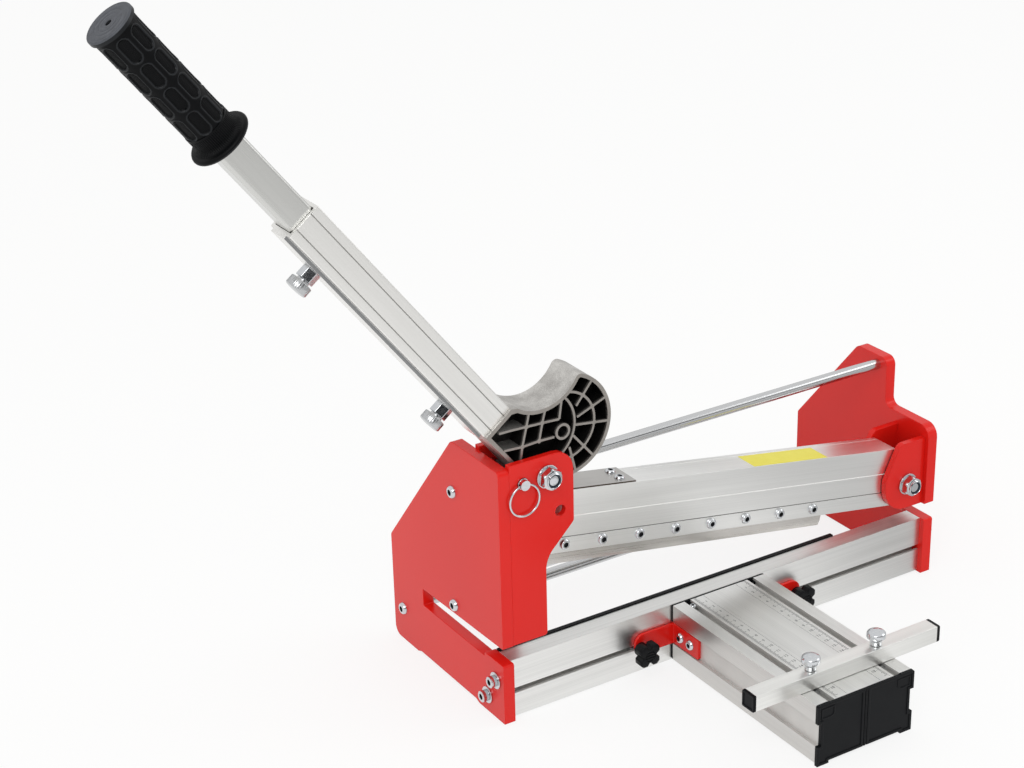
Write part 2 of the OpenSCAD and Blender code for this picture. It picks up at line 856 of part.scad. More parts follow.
// Where two circles meet, on the right of the line from the first to the second
function meeting(a, ra, b, rb) =
    let (d = norm(b - a), u = (b - a) / d, x = (d * d + ra * ra - rb * rb) / d * half)
    a + x * u + sqrt(ra * ra - x * x) * [u[1], -u[0]];

// Outline of the casting drawn inside its true edge by the given amount, its horn rounded at the tip
module cam_outline(inset) {
    cam_at = [cam_ecc_x, cam_ecc_z];
    bite_at = [bite_x, bite_z];
    nose = meeting(cam_at, cam_r - nose_r, bite_at, bite_r + nose_r);
    tip = meeting(cam_at, cam_r, bite_at, bite_r);
    out_0 = unit(nose - cam_at);
    out_1 = unit(bite_at - nose);
    a0 = atan2(out_0[1], out_0[0]);
    a1 = atan2(out_1[1], out_1[0]);
    difference() {
        cam_form(inset);
        polygon(concat(
            [nose + 2 * nose_r * out_0],
            [for (k = [1 : nose_steps - 1]) let (a = a0 + (a1 - a0) * k / nose_steps)
                nose + (nose_r - inset) * [cos(a), sin(a)]],
            [nose + 2 * nose_r * out_1, nose + 3 * (tip - nose)]));
    }
}

module cam_form(inset) {
    difference() {
        union() {
            translate([cam_ecc_x, cam_ecc_z]) circle(r = cam_r - inset, $fn = 96);
            polygon([arm_pt(0, inset - arm_under), arm_pt(arm_u - inset, inset - arm_under),
                arm_pt(arm_u - inset, arm_over - inset), arm_pt(0, arm_over - inset)]);
            polygon([[0, 0], arm_pt(arm_u - inset, inset - arm_under), arm_pt(arm_u - inset, arm_over - inset),
                [cam_ecc_x, bite_z - bite_r + inset], [cam_ecc_x, cam_ecc_z]]);
            if (inset == 0) circle(r = hub_r);
        }
        translate([bite_x, bite_z]) circle(r = bite_r + inset, $fn = 96);
    }
}

// Straight rib between two points
module rib(a, b) {
    v = b - a;
    translate(a) rotate(atan2(v[1], v[0])) translate([0, -cam_rib * half]) square([norm(v), cam_rib]);
}

module rib_path(points) {
    for (i = [0 : len(points) - 2]) rib(points[i], points[i + 1]);
}

module rib_ring(r) {
    difference() {
        circle(r = r + cam_rib * half, $fn = 96);
        circle(r = r - cam_rib * half, $fn = 96);
    }
}

// Points of the ribs as shares of the cam's radius, seen from the lever pivot
row_a_shares = [[-0.85, 0.983], [-0.644, 0.983], [-0.295, 0.967], [0.033, 0.954], [0.388, 0.935]];
row_b_shares = [[-0.759, 0.629], [-0.388, 0.605], [-0.037, 0.625], [0.278, 0.616]];
col_a_shares = [[-0.21, 1.33], [-0.295, 0.967], [-0.388, 0.605], [-0.434, 0.3]];
col_b_shares = [[0.13, 1.3], [0.033, 0.954], [-0.037, 0.625]];
col_c_shares = [[0.46, 1.4], [0.388, 0.935]];
// Angles of the ribs that run out from the disc's middle, and the share where each starts
spoke_angles = [[51, 0.42], [21, 0.3], [-8, 0.2], [-50, 0.3], [-76, 0.45]];
ring_share = 0.644;
arc_share = 0.71;
arc_x_share = 0;
arc_z_share = 0.824;

module cam_ribs() {
    rib_path(row_a_shares * cam_r);
    rib_path(row_b_shares * cam_r);
    rib_path(col_a_shares * cam_r);
    rib_path(col_b_shares * cam_r);
    rib_path(col_c_shares * cam_r);
    for (p = [row_a_shares[2], row_a_shares[3], row_b_shares[1], row_b_shares[2]])
        translate(p * cam_r) circle(r = rib_node_r);
    translate([cam_ecc_x, cam_ecc_z]) {
        intersection() {
            rib_ring(cam_r * ring_share);
            rotate(-85) square([cam_r, cam_r]);
        }
        intersection() {
            rib_ring(cam_r * ring_share);
            rotate(-8) square([cam_r, cam_r]);
        }
        for (s = spoke_angles) {
            rotate(s[0]) translate([cam_r * s[1], -cam_rib * half])
                square([cam_r * (1 - s[1]) - cam_rim * half, cam_rib]);
            rotate(s[0]) translate([cam_r * ring_share, 0]) circle(r = rib_node_r);
        }
    }
    intersection() {
        translate([arc_x_share * cam_r, arc_z_share * cam_r]) rib_ring(cam_r * arc_share);
        translate([cam_ecc_x * half, 0]) square([cam_r, 2 * cam_r]);
    }
    circle(r = hub_r);
    translate([boss_x, boss_z]) circle(r = boss_r);
    polygon([arm_pt(arm_u, -arm_under), arm_pt(arm_u, arm_over),
        arm_pt(arm_u - joint_wall, arm_over), arm_pt(arm_u - joint_wall, -arm_under)]);
}

module cam_casting() {
    depth = (cam_w - cam_web) * half;
    color("#8d8f90") {
        placed() translate([lever_x, 0, lever_z]) difference() {
            along_y(cut_y - cam_w * half, cam_w) cam_outline(0);
            for (y = [cut_y - cam_w * half - over, cut_y + cam_web * half])
                along_y(y, depth + over) difference() {
                    cam_outline(cam_rim);
                    cam_ribs();
                }
            pin_y(cut_y - cam_w, 2 * cam_w, 0, 0, bush_r + fit);
            pin_y(cut_y - cam_w, 2 * cam_w, boss_x, boss_z, lock_hole_r);
        }
        on_lever() translate([arm_u, 0, -arm_mid]) {
            s = sleeve_bore - 2 * spigot_gap;
            translate([-joint_wall * half, -s * half, -s * half]) cube([spigot_l + joint_wall * half, s, s]);
        }
    }
}

module cam_bush() {
    l = cheek_gap - 2 * slip;
    color("#a98b4a") placed() translate([lever_x, cut_y - l * half, lever_z]) rotate([-90, 0, 0])
        ring_solid(bush_r, pivot_d * half + fit, l);
}

// Square outline with rounded corners, about zero
module soft_square(s, r) {
    polygon(rounded([[-s * half, -s * half, r], [s * half, -s * half, r],
        [s * half, s * half, r], [-s * half, s * half, r]], 4));
}

module lever_sleeve() {
    hw = sleeve_w * half;
    color("#dcdcda") on_lever() translate([0, 0, -arm_mid]) difference() {
        along_x(arm_u, sleeve_l) difference() {
            union() {
                soft_square(sleeve_w, soft_r);
                translate([-track_w * half, 0]) square([track_w, hw + track_h]);
            }
            square(sleeve_bore, center = true);
            for (side = [-1, 1], place = [-1, 1])
                translate([side * hw - groove_d, place * (half - sleeve_groove_share) * sleeve_w - groove_w * half])
                    square([2 * groove_d, groove_w]);
        }
        for (u = [clamp_upper, clamp_lower])
            translate([u, 0, 0]) cylinder(h = sleeve_w + track_h, r = clamp_d * half + fit);
    }
}

module screw_bosses() {
    z0 = sleeve_w * half + track_h - arm_mid;
    color("#2b2e33") on_lever() for (u = [clamp_upper, clamp_lower])
        translate([u, 0, z0]) difference() {
            rotate(30) cylinder(h = clamp_boss_l, d = clamp_af / cos(30), $fn = 6);
            translate([0, 0, -over]) cylinder(h = clamp_boss_l + 2 * over, r = clamp_d * half + fit);
        }
}

module inner_tube() {
    u0 = sleeve_end - tube_in;
    color("#e2e2e0") on_lever() translate([0, 0, -arm_mid])
        along_x(u0, grip_end - grip_close - u0) difference() {
            soft_square(tube_w, tube_r);
            soft_square(tube_w - 2 * tube_wall, tube_r - tube_wall * half);
        }
}

module hand_grip() {
    body_0 = flange_t + band_l;
    body_1 = grip_l - disc_t;
    color("#26282b") on_lever() translate([grip_start, 0, -arm_mid]) difference() {
        rotate([90, 0, 90]) rotate_extrude($fn = 96) polygon(concat(
            [[0, 0]],
            [for (k = [0 : 4]) [flange_r - flange_t * half * (1 - sin(k * 45)),
                flange_t * half * (1 - cos(k * 45))]],
            [[flare_r, flange_t], [band_r, flange_t + flare_l], [band_r, body_0],
                [grip_r, body_0 + soft_r], [grip_r, body_1 - soft_r], [disc_r, body_1]],
            [for (k = [0 : 4]) [disc_r - disc_soft * (1 - cos(k * 22.5)),
                grip_l - disc_soft * (1 - sin(k * 22.5))]],
            [[0, grip_l]]));
        along_x(-over, grip_l - grip_close + over) soft_square(tube_w, tube_r);
        translate([grip_l - grip_close - over, 0, 0]) rotate([0, 90, 0])
            cylinder(h = grip_close + 2 * over, r = grip_hole_r);
        for (row = [0 : pad_rows - 1], i = [0 : 3]) {
            u = body_0 + pad_start + i * pad_pitch;
            if (u + pad_l * half < body_1)
                rotate([pad_turn + row * 360 / pad_rows, 0, 0]) translate([u, 0, grip_r - pad_d]) {
                    for (e = [-1, 1]) translate([e * (pad_l - pad_w) * half, 0, 0])
                        cylinder(h = pad_d + over, d = pad_w);
                    translate([(pad_w - pad_l) * half, -pad_w * half, 0])
                        cube([pad_l - pad_w, pad_w, pad_d + over]);
                }
        }
    }
}

// Thumb screw of the lever, from its tip near the tube or spigot to its head
module thumb_screw(u, tip) {
    boss_end = arm_under + track_h + clamp_boss_l;
    color("#c4c6c8") on_lever() translate([u, 0, 0]) {
        translate([0, 0, tip]) cylinder(h = boss_end + slip - tip + over, d = clamp_d);
        translate([0, 0, boss_end + slip]) cylinder(h = clamp_neck_l + over, r = clamp_neck_r);
        translate([0, 0, boss_end + slip + clamp_neck_l]) thumb_head(clamp_head_r, clamp_head_l, clamp_dome);
    }
}

module upper_thumb_screw() { thumb_screw(clamp_upper, tube_w * half - arm_mid + slip); }

module lower_thumb_screw() { thumb_screw(clamp_lower, sleeve_bore * half - arm_mid + slip); }

module lock_pin() {
    y0 = plate_y0 - pin_out;
    y1 = cheek_back + pin_tail;
    color("#c4c6c8") placed() difference() {
        union() {
            pin_y(plate_y0 - pin_neck, y1 - plate_y0 + pin_neck, pin_place()[0], pin_place()[1], pin_r);
            pin_y(y0 - pin_head_r * half, pin_out + pin_head_r * half, pin_place()[0], pin_place()[1], pin_head_r);
        }
        translate([pin_place()[0], y0, pin_place()[1]]) rotate([0, 90, 0])
            cylinder(h = 4 * pin_head_r, r = ring_hole_r, center = true);
    }
}

module pin_ring() {
    color("#c9cbcd") placed()
        translate([pin_place()[0], plate_y0 - pin_out, pin_place()[1] - ring_r]) rotate([90, 0, 0])
            rotate_extrude() translate([ring_r, 0]) circle(d = ring_wire, $fn = 24);
}

// Outline of the table profile, middle at zero and height from the surface
module table_shape() {
    hw = table_w * half;
    difference() {
        translate([-hw, table_bottom]) square([table_w, rail_top - table_bottom]);
        for (side = [0, 1]) mirror([side, 0])
            translate([-hw - over, recess_z0]) square([recess_d + over, recess_z1 - recess_z0]);
    }
}

module table_extrusion() {
    hw = table_w * half;
    hollow_z = rail_top - table_lip - table_hollow_d;
    inner = table_slot_x - table_hollow_w * half - table_web;
    color("#d6d7d5") placed() translate([table_x, 0, 0]) difference() {
        along_y(table_y0, table_l) difference() {
            table_shape();
            translate([-inner, table_bottom + table_wall])
                square([2 * inner, rail_top - table_bottom - 2 * table_wall]);
            for (side = [0, 1]) mirror([side, 0]) {
                translate([table_slot_x - table_slot_w * half, hollow_z]) square([table_slot_w, table_hollow_d * 2]);
                translate([table_slot_x - table_hollow_w * half, hollow_z]) square([table_hollow_w, table_hollow_d]);
                translate([inner + table_web, recess_z0 + table_wall])
                    square([hw - recess_d - table_wall - inner - table_web, hollow_z - table_web - recess_z0 - table_wall]);
                translate([inner + table_web, table_bottom + table_wall])
                    square([hw - table_wall - inner - table_web, recess_z0 - table_bottom - 2 * table_wall]);
            }
        }
        for (side = [0, 1], i = [0, 1]) mirror([side, 0, 0])
            pin_x(-hw - over, 3 * table_wall + recess_d, -bracket_screw_y - i * bracket_screw_pitch,
                (bracket_z0 + bracket_z1) * half, bracket_screw_d * half + fit);
    }
}

module table_rear_cap() {
    color("#22262a") placed() translate([table_x, 0, 0]) along_y(table_y1, rear_cap_t) table_shape();
}

module table_front_cap() {
    hw = table_w * half;
    color("#22262a") placed() translate([table_x, 0, 0]) difference() {
        along_y(front_y, front_cap_t) union() {
            table_shape();
            for (side = [0, 1]) mirror([side, 0]) {
                translate([-hw, 0]) square([cap_foot_w, table_bottom + over]);
                polygon(rounded([[-hw - cap_over, recess_z1, 0], [-hw + cap_over_w, recess_z1, 0],
                    [-hw + cap_over_w, rail_top + cap_over, cap_corner_r],
                    [-hw - cap_over, rail_top + cap_over, cap_corner_r]]));
            }
        }
        for (side = [-1, 1]) translate([side * cap_line_x - cap_line_w * half, front_y - over, table_bottom + over])
            cube([cap_line_w, cap_line_d + over, rail_top - table_bottom - 2 * over]);
    }
}

// Angle bracket on the left side of the table, with the table's middle at zero
module bracket() {
    hw = table_w * half - recess_d;
    rise = bracket_z1 - bracket_z0;
    difference() {
        union() {
            along_x(-hw - bracket_t, bracket_t) polygon(rounded([
                [-table_gap, bracket_z0, 0], [-table_gap, bracket_z1, 0],
                [-table_gap - bracket_leg, bracket_z1, bracket_corner],
                [-table_gap - bracket_leg, bracket_z0, bracket_corner]]));
            along_y(-table_gap - bracket_t, bracket_t) polygon(rounded([
                [-hw, bracket_z0, 0], [-hw, bracket_z1, 0],
                [recess_d - hw - bracket_arm - bracket_t, bracket_z1, rise * half - soft_r],
                [recess_d - hw - bracket_arm - bracket_t, bracket_z0, rise * half - soft_r]]));
        }
        for (i = [0, 1])
            pin_x(-hw - 2 * bracket_t, 3 * bracket_t, -bracket_screw_y - i * bracket_screw_pitch,
                (bracket_z0 + bracket_z1) * half, bracket_screw_d * half + fit);
        pin_y(-2 * bracket_t - table_gap, 3 * bracket_t, -knob_x, knob_z, stud_d * half + fit);
    }
}

module left_bracket() { color("#d8392f") placed() translate([table_x, 0, 0]) bracket(); }

module right_bracket() { color("#d8392f") placed() translate([table_x, 0, 0]) mirror([1, 0, 0]) bracket(); }

module bracket_screws() {
    color("#c4c6c8") placed() translate([table_x, 0, 0]) for (side = [0, 1], i = [0, 1])
        mirror([side, 0, 0])
            translate([recess_d - table_w * half - bracket_t, -bracket_screw_y - i * bracket_screw_pitch,
                    (bracket_z0 + bracket_z1) * half])
                rotate([0, -90, 0]) dome_screw(bracket_screw_head, bracket_screw_head_h, bracket_screw_d,
                    bracket_t + table_wall + bracket_screw_tip);
}

module rail_t_bolts() {
    head_h = rail_hollow_h - 2 * slip;
    head_d = rail_hollow_d - 2 * slip;
    tip = knob_back + knob_base_l + knob_l - knob_cap;
    color("#c4c6c8") placed() for (side = [-1, 1]) translate([table_x + side * knob_x, 0, knob_z]) {
        translate([-t_head_l * half, rail_wall + slip, -head_h * half]) cube([t_head_l, head_d, head_h]);
        pin_y(-tip, tip + rail_wall + slip + over, 0, 0, stud_d * half);
    }
}

module star_knob(x) {
    color("#1f2226") placed() translate([x, -knob_back, knob_z]) rotate([90, 0, 0]) difference() {
        union() {
            cylinder(h = knob_base_l + over, r = knob_base_r);
            translate([0, 0, knob_base_l]) linear_extrude(knob_l) {
                circle(r = knob_core_r);
                for (a = [45 : 90 : 315]) rotate(a) {
                    translate([knob_lobe_x, 0]) circle(r = knob_lobe_r);
                    translate([0, -knob_lobe_r]) square([knob_lobe_x, 2 * knob_lobe_r]);
                }
            }
        }
        translate([0, 0, -over]) cylinder(h = knob_base_l + knob_l - knob_cap + over + slip, r = stud_d * half + fit);
    }
}

module left_star_knob() { star_knob(table_x - knob_x); }

module right_star_knob() { star_knob(table_x + knob_x); }

module fence_bar() {
    color("#dededc") placed() translate([table_x, 0, 0]) difference() {
        along_x(-fence_l * half, fence_l) translate([fence_y, fence_z0 + fence_w * half]) difference() {
            soft_square(fence_w, half * soft_r);
            square(fence_w - 2 * fence_wall, center = true);
        }
        for (side = [-1, 1]) translate([side * table_slot_x, fence_y, fence_z0 - over])
            cylinder(h = fence_w + 2 * over, r = fence_screw_d * half + fit);
    }
}

module fence_caps() {
    color("#22262a") placed() translate([table_x, 0, 0]) for (side = [0, 1]) mirror([side, 0, 0])
        along_x(fence_l * half, fence_cap_t) translate([fence_y, fence_z0 + fence_w * half])
            soft_square(fence_w, half * soft_r);
}

module fence_t_nuts() {
    hollow_z = rail_top - table_lip - table_hollow_d;
    color("#b0b2b4") placed() for (side = [-1, 1])
        translate([table_x + side * table_slot_x, fence_y, hollow_z + slip]) difference() {
            translate([slip - table_hollow_w * half, -fence_nut_l * half, 0])
                cube([table_hollow_w - 2 * slip, fence_nut_l, fence_nut_t]);
            translate([0, 0, -over]) cylinder(h = fence_nut_t + 2 * over, r = fence_screw_d * half + fit);
        }
}

module fence_screw(x) {
    z0 = rail_top - table_lip - table_hollow_d + slip;
    color("#c9cbcd") placed() translate([x, fence_y, 0]) {
        translate([0, 0, z0 + slip]) cylinder(h = fence_z1 + over - z0, d = fence_screw_d);
        translate([0, 0, fence_z1 + slip]) cylinder(h = fence_neck_l + over, r = fence_neck_r);
        translate([0, 0, fence_z1 + slip + fence_neck_l]) thumb_head(fence_head_r, fence_head_l, fence_dome);
    }
}

module left_fence_screw() { fence_screw(table_x - table_slot_x); }

module right_fence_screw() { fence_screw(table_x + table_slot_x); }

base_rail();
anvil_strip();
left_end_plate();
right_end_plate();
front_cheek();
rear_cheek();
front_ear();
rear_ear();
upper_tie_rod();
lower_tie_rod();
rear_tie_rod();
tie_rod_screws();
rail_bolts();
rail_washers();
lever_pivot_bolt();
lever_pivot_nut();
lever_pivot_washers();
beam_pivot_bolt();
beam_pivot_nut();
beam_pivot_washers();
blade_beam();
blade();
blade_screws();
wear_plate();
wear_plate_screws();
beam_bush();
return_spring();
beam_label();
cam_casting();
cam_bush();
lever_sleeve();
screw_bosses();
inner_tube();
hand_grip();
upper_thumb_screw();
lower_thumb_screw();
lock_pin();
pin_ring();
table_extrusion();
table_rear_cap();
table_front_cap();
left_bracket();
right_bracket();
bracket_screws();
rail_t_bolts();
left_star_knob();
right_star_knob();
fence_bar();
fence_caps();
fence_t_nuts();
left_fence_screw();
right_fence_screw();
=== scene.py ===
"""Looks of the laminate cutter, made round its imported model.

The file follows the cutter as it is put together: the rail first, then the red plates that close it,
the blade beam, the lever with its cam, and last the measuring table with its fence.
"""

import json
import math

import bmesh
import bpy
from mathutils import Matrix, Vector


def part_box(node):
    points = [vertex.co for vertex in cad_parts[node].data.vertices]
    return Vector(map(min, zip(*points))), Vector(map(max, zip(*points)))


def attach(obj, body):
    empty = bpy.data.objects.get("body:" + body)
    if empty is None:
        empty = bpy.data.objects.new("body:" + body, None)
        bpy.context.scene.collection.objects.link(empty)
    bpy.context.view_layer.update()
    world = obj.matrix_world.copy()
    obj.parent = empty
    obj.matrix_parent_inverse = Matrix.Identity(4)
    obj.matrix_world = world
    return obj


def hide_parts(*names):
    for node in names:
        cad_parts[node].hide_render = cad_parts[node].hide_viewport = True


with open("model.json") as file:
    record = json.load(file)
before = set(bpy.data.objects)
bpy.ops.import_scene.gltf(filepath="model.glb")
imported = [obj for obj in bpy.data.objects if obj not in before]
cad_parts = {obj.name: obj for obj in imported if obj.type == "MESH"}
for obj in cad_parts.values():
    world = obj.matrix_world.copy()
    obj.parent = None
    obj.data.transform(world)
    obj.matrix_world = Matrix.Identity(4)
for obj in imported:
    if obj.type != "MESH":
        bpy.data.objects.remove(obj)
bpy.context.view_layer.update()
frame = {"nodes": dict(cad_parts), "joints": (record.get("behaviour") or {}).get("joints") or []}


# Camera, where the photographer stood: at the left of the rail, looking down at the front of the
# cutter with a long lens. It leans by one and a half degrees.
def placed(name, data):
    """New object in the scene that shows data."""
    made = bpy.data.objects.new(name, data)
    bpy.context.scene.collection.objects.link(made)
    return made


stand = (-0.89527, -1.32861, 1.0080)
view_yaw, view_pitch, view_roll = (math.radians(a) for a in (31.5257, 24.0488, 1.5108))
ahead = Vector((math.sin(view_yaw) * math.cos(view_pitch), math.cos(view_yaw) * math.cos(view_pitch),
                -math.sin(view_pitch)))
level = Vector((math.cos(view_yaw), -math.sin(view_yaw), 0))
below = ahead.cross(level)
across = math.cos(view_roll) * level + math.sin(view_roll) * below
downward = -math.sin(view_roll) * level + math.cos(view_roll) * below
lens = bpy.data.cameras.new("camera")
lens.lens, lens.sensor_width = 76.54, 36
lens.clip_start, lens.clip_end = 0.05, 60
camera = placed("camera", lens)
camera.matrix_world = Matrix.Translation(stand) @ Matrix((across, -downward, -ahead)).transposed().to_4x4()
bpy.context.scene.camera = camera


# Studio: a matt floor to the horizon, a pale sky for the soft light, and two large lamps. The floor adds a
# white of its own for what looks at it straight or in a mirror, and keeps the shadow. The room behind the
# photographer is unlit and the floor falls into shade on the right, and only bright metal shows either.
def linear(code):
    """Linear colour of an sRGB hex value."""
    steps = [int(code[i:i + 2], 16) / 255 for i in (1, 3, 5)]
    return tuple(c / 12.92 if c <= 0.04045 else ((c + 0.055) / 1.055) ** 2.4 for c in steps) + (1.0,)


def add(tree, kind, feeds=None, **settings):
    """Adds a node. feeds gives its inputs by name or number: a value, or the output linked there."""
    made = tree.nodes.new(kind)
    for key, value in settings.items():
        setattr(made, key, value)
    for key, value in (feeds or {}).items():
        if isinstance(value, bpy.types.NodeSocket):
            tree.links.new(value, made.inputs[key])
        else:
            made.inputs[key].default_value = value
    return made


floor_half = 14.0
floor_white = 0.8
shade_start, shade_end, shade_depth = 0.2, 0.42, 0.42
unlit_tone = linear("#1d1f22")
floor_mesh = bpy.data.meshes.new("studio_floor")
floor_corners = [(x * floor_half, y * floor_half, 0) for x, y in ((-1, -1), (1, -1), (1, 1), (-1, 1))]
floor_mesh.from_pydata(floor_corners, [], [(0, 1, 2, 3)])
placed("studio_floor", floor_mesh)
floor_paint = bpy.data.materials.new("matt_studio_paint")
floor_paint.use_nodes = True
tree = floor_paint.node_tree
tree.nodes.clear()
ray = add(tree, "ShaderNodeLightPath")
seen = ray.outputs["Is Camera Ray"]
for way in ("Is Glossy Ray", "Is Transmission Ray"):
    seen = add(tree, "ShaderNodeMath", {0: seen, 1: ray.outputs[way]}, operation="MAXIMUM").outputs[0]
share = add(tree, "ShaderNodeMath", {0: seen, 1: floor_white}, operation="MULTIPLY")
matt = add(tree, "ShaderNodeBsdfDiffuse", {"Color": linear("#f1f1ef")})
glow = add(tree, "ShaderNodeEmission", {"Color": linear("#ffffff"), "Strength": 1.0})
lit = add(tree, "ShaderNodeMixShader", {0: share.outputs[0], 1: matt.outputs[0], 2: glow.outputs[0]})
place = add(tree, "ShaderNodeTexCoord")
where = add(tree, "ShaderNodeSeparateXYZ", {0: place.outputs["Object"]})
shade = add(tree, "ShaderNodeMapRange",
            {"Value": where.outputs["X"], "From Min": shade_start, "From Max": shade_end,
             "To Min": 0.0, "To Max": shade_depth}, interpolation_type="SMOOTHSTEP")
dim = add(tree, "ShaderNodeMath", {0: shade.outputs[0], 1: ray.outputs["Is Glossy Ray"]},
          operation="MULTIPLY")
gloom = add(tree, "ShaderNodeEmission", {"Color": unlit_tone, "Strength": 1.0})
whole = add(tree, "ShaderNodeMixShader", {0: dim.outputs[0], 1: lit.outputs[0], 2: gloom.outputs[0]})
add(tree, "ShaderNodeOutputMaterial", {"Surface": whole.outputs[0]})
floor_mesh.materials.append(floor_paint)

sky = bpy.data.worlds.new("studio_sky")
sky.use_nodes = True
tree = sky.node_tree
tree.nodes.clear()
toward = add(tree, "ShaderNodeTexCoord")
height = add(tree, "ShaderNodeSeparateXYZ", {0: toward.outputs["Generated"]})
lift = add(tree, "ShaderNodeMapRange",
           {"Value": height.outputs["Z"], "From Min": -0.05, "From Max": 0.7,
            "To Min": 0.0, "To Max": 1.0}, interpolation_type="SMOOTHSTEP")
tone = add(tree, "ShaderNodeMix", {0: lift.outputs[0], 6: linear("#e4e4e4"), 7: linear("#f2f2f2")},
           data_type="RGBA")
ray = add(tree, "ShaderNodeLightPath")
room = ray.outputs["Is Glossy Ray"]
room_edges = (("Y", -0.64, -0.78), ("Z", 0.2, 0.27), ("Z", 0.6, 0.5))
for axis, start, end in room_edges:
    edge = add(tree, "ShaderNodeMapRange",
               {"Value": height.outputs[axis], "From Min": start, "From Max": end},
               interpolation_type="SMOOTHSTEP")
    room = add(tree, "ShaderNodeMath", {0: room, 1: edge.outputs[0]}, operation="MULTIPLY").outputs[0]
tone = add(tree, "ShaderNodeMix", {0: room, 6: tone.outputs[2], 7: unlit_tone}, data_type="RGBA")
air = add(tree, "ShaderNodeBackground", {"Color": tone.outputs[2], "Strength": 1.0})
add(tree, "ShaderNodeOutputWorld", {"Surface": air.outputs[0]})
bpy.context.scene.world = sky

lamp_aim = Vector((0, 0, 0.25))
for name, at, size, watts in (("key_lamp", (-1.5, -1.7, 2.3), 1.5, 25),
                              ("side_lamp", (2.3, -0.9, 1.6), 1.3, 9)):
    light = bpy.data.lights.new(name, "AREA")
    light.shape, light.size, light.energy = "SQUARE", size, watts
    lamp = placed(name, light)
    lamp.location = at
    lamp.rotation_mode = "QUATERNION"
    lamp.rotation_quaternion = (lamp_aim - Vector(at)).to_track_quat("-Z", "Y")
bpy.context.scene.view_settings.view_transform = "Standard"


# Base rail: an extruded aluminium profile with a slot along its front, anodised and satin.
# The press leaves fine lines along it, and sawing leaves its edges sharp but for a small ease.
MM = 0.001
parts = frame["nodes"]


def start_finish(name, **shader):
    """New material: returns it with its tree, its shader and its object coordinates."""
    made = bpy.data.materials.new(name)
    made.use_nodes = True
    tree = made.node_tree
    tree.nodes.clear()
    skin = add(tree, "ShaderNodeBsdfPrincipled", {k.replace("_", " "): v for k, v in shader.items()})
    add(tree, "ShaderNodeOutputMaterial", {"Surface": skin.outputs[0]})
    return made, tree, skin, add(tree, "ShaderNodeTexCoord").outputs["Object"]


def end_finish(tree, skin, tones, dull=None, relief=None, edge=None):
    """Ends a finish, and returns its tone.

    tones: what the tone follows, its darkest and its palest colour. dull: what the roughness follows, over
    which range, and the roughness there. relief: what the surface follows, how strongly, and how deep in
    millimetres. edge: the radius in millimetres that sharp edges seem to have, and its samples.
    """
    source, dark, pale = tones
    tone = add(tree, "ShaderNodeMix", {0: source.outputs[0], 6: linear(dark), 7: linear(pale)},
               data_type="RGBA")
    tree.links.new(tone.outputs[2], skin.inputs["Base Color"])
    if dull:
        source, low, high, at_low, at_high = dull
        rough = add(tree, "ShaderNodeMapRange", {"Value": source.outputs[0], "From Min": low,
                                                 "From Max": high, "To Min": at_low, "To Max": at_high})
        tree.links.new(rough.outputs[0], skin.inputs["Roughness"])
    shape = edge and add(tree, "ShaderNodeBevel", {"Radius": edge[0] * MM}, samples=edge[1])
    if relief:
        source, strength, depth = relief
        feeds = {"Height": source.outputs[0], "Strength": strength, "Distance": depth * MM}
        if shape:
            feeds["Normal"] = shape.outputs[0]
        shape = add(tree, "ShaderNodeBump", feeds)
    if shape:
        tree.links.new(shape.outputs[0], skin.inputs["Normal"])
    return tone


def clouded(name, size, detail, dark, pale, dull=None, **shader):
    """Finish whose tone drifts in clouds size millimetres across. dull gives its range of roughness."""
    made, tree, skin, place = start_finish(name, **shader)
    cloud = add(tree, "ShaderNodeTexNoise", {"Vector": place, "Scale": 1 / (size * MM), "Detail": detail})
    end_finish(tree, skin, (cloud, dark, pale), dull and (cloud, 0, 1, *dull))
    return made


def drawn_aluminium(name, pale, deep, turn, rough, line=0.7):
    """Satin aluminium with lines along its length. turn is how the length lies.

    The real lines are a tenth of a millimetre wide. They are drawn line millimetres wide, to show.
    """
    line_l, band_l, band_w = 260, 180, 9
    made, tree, skin, place = start_finish(name, Metallic=1.0, Roughness=rough)
    along = add(tree, "ShaderNodeMapping",
                {"Vector": place, "Rotation": turn, "Scale": (line_l * MM, line * MM, line * MM)},
                vector_type="TEXTURE")
    lines = add(tree, "ShaderNodeTexNoise",
                {"Vector": along.outputs[0], "Scale": 1.0, "Detail": 3.0, "Roughness": 0.65})
    wide = add(tree, "ShaderNodeMapping",
               {"Vector": place, "Rotation": turn, "Scale": (band_l * MM, band_w * MM, band_w * MM)},
               vector_type="TEXTURE")
    bands = add(tree, "ShaderNodeTexNoise", {"Vector": wide.outputs[0], "Scale": 1.0, "Detail": 1.0})
    both = add(tree, "ShaderNodeMix", {0: 0.4, 2: lines.outputs[0], 3: bands.outputs[0]})
    level = add(tree, "ShaderNodeMapRange", {"Value": both.outputs[0], "From Min": 0.3, "From Max": 0.7})
    end_finish(tree, skin, (level, deep, pale), (lines, 0.3, 0.7, rough + 0.05, rough - 0.05),
               (lines, 0.25, 0.03), (0.35, 4))
    return made


def plain_mesh(holder):
    """Plain mesh of what an object shows. The object goes."""
    shown = holder.evaluated_get(bpy.context.evaluated_depsgraph_get())
    made = bpy.data.meshes.new_from_object(shown)
    bpy.data.objects.remove(holder)
    return made


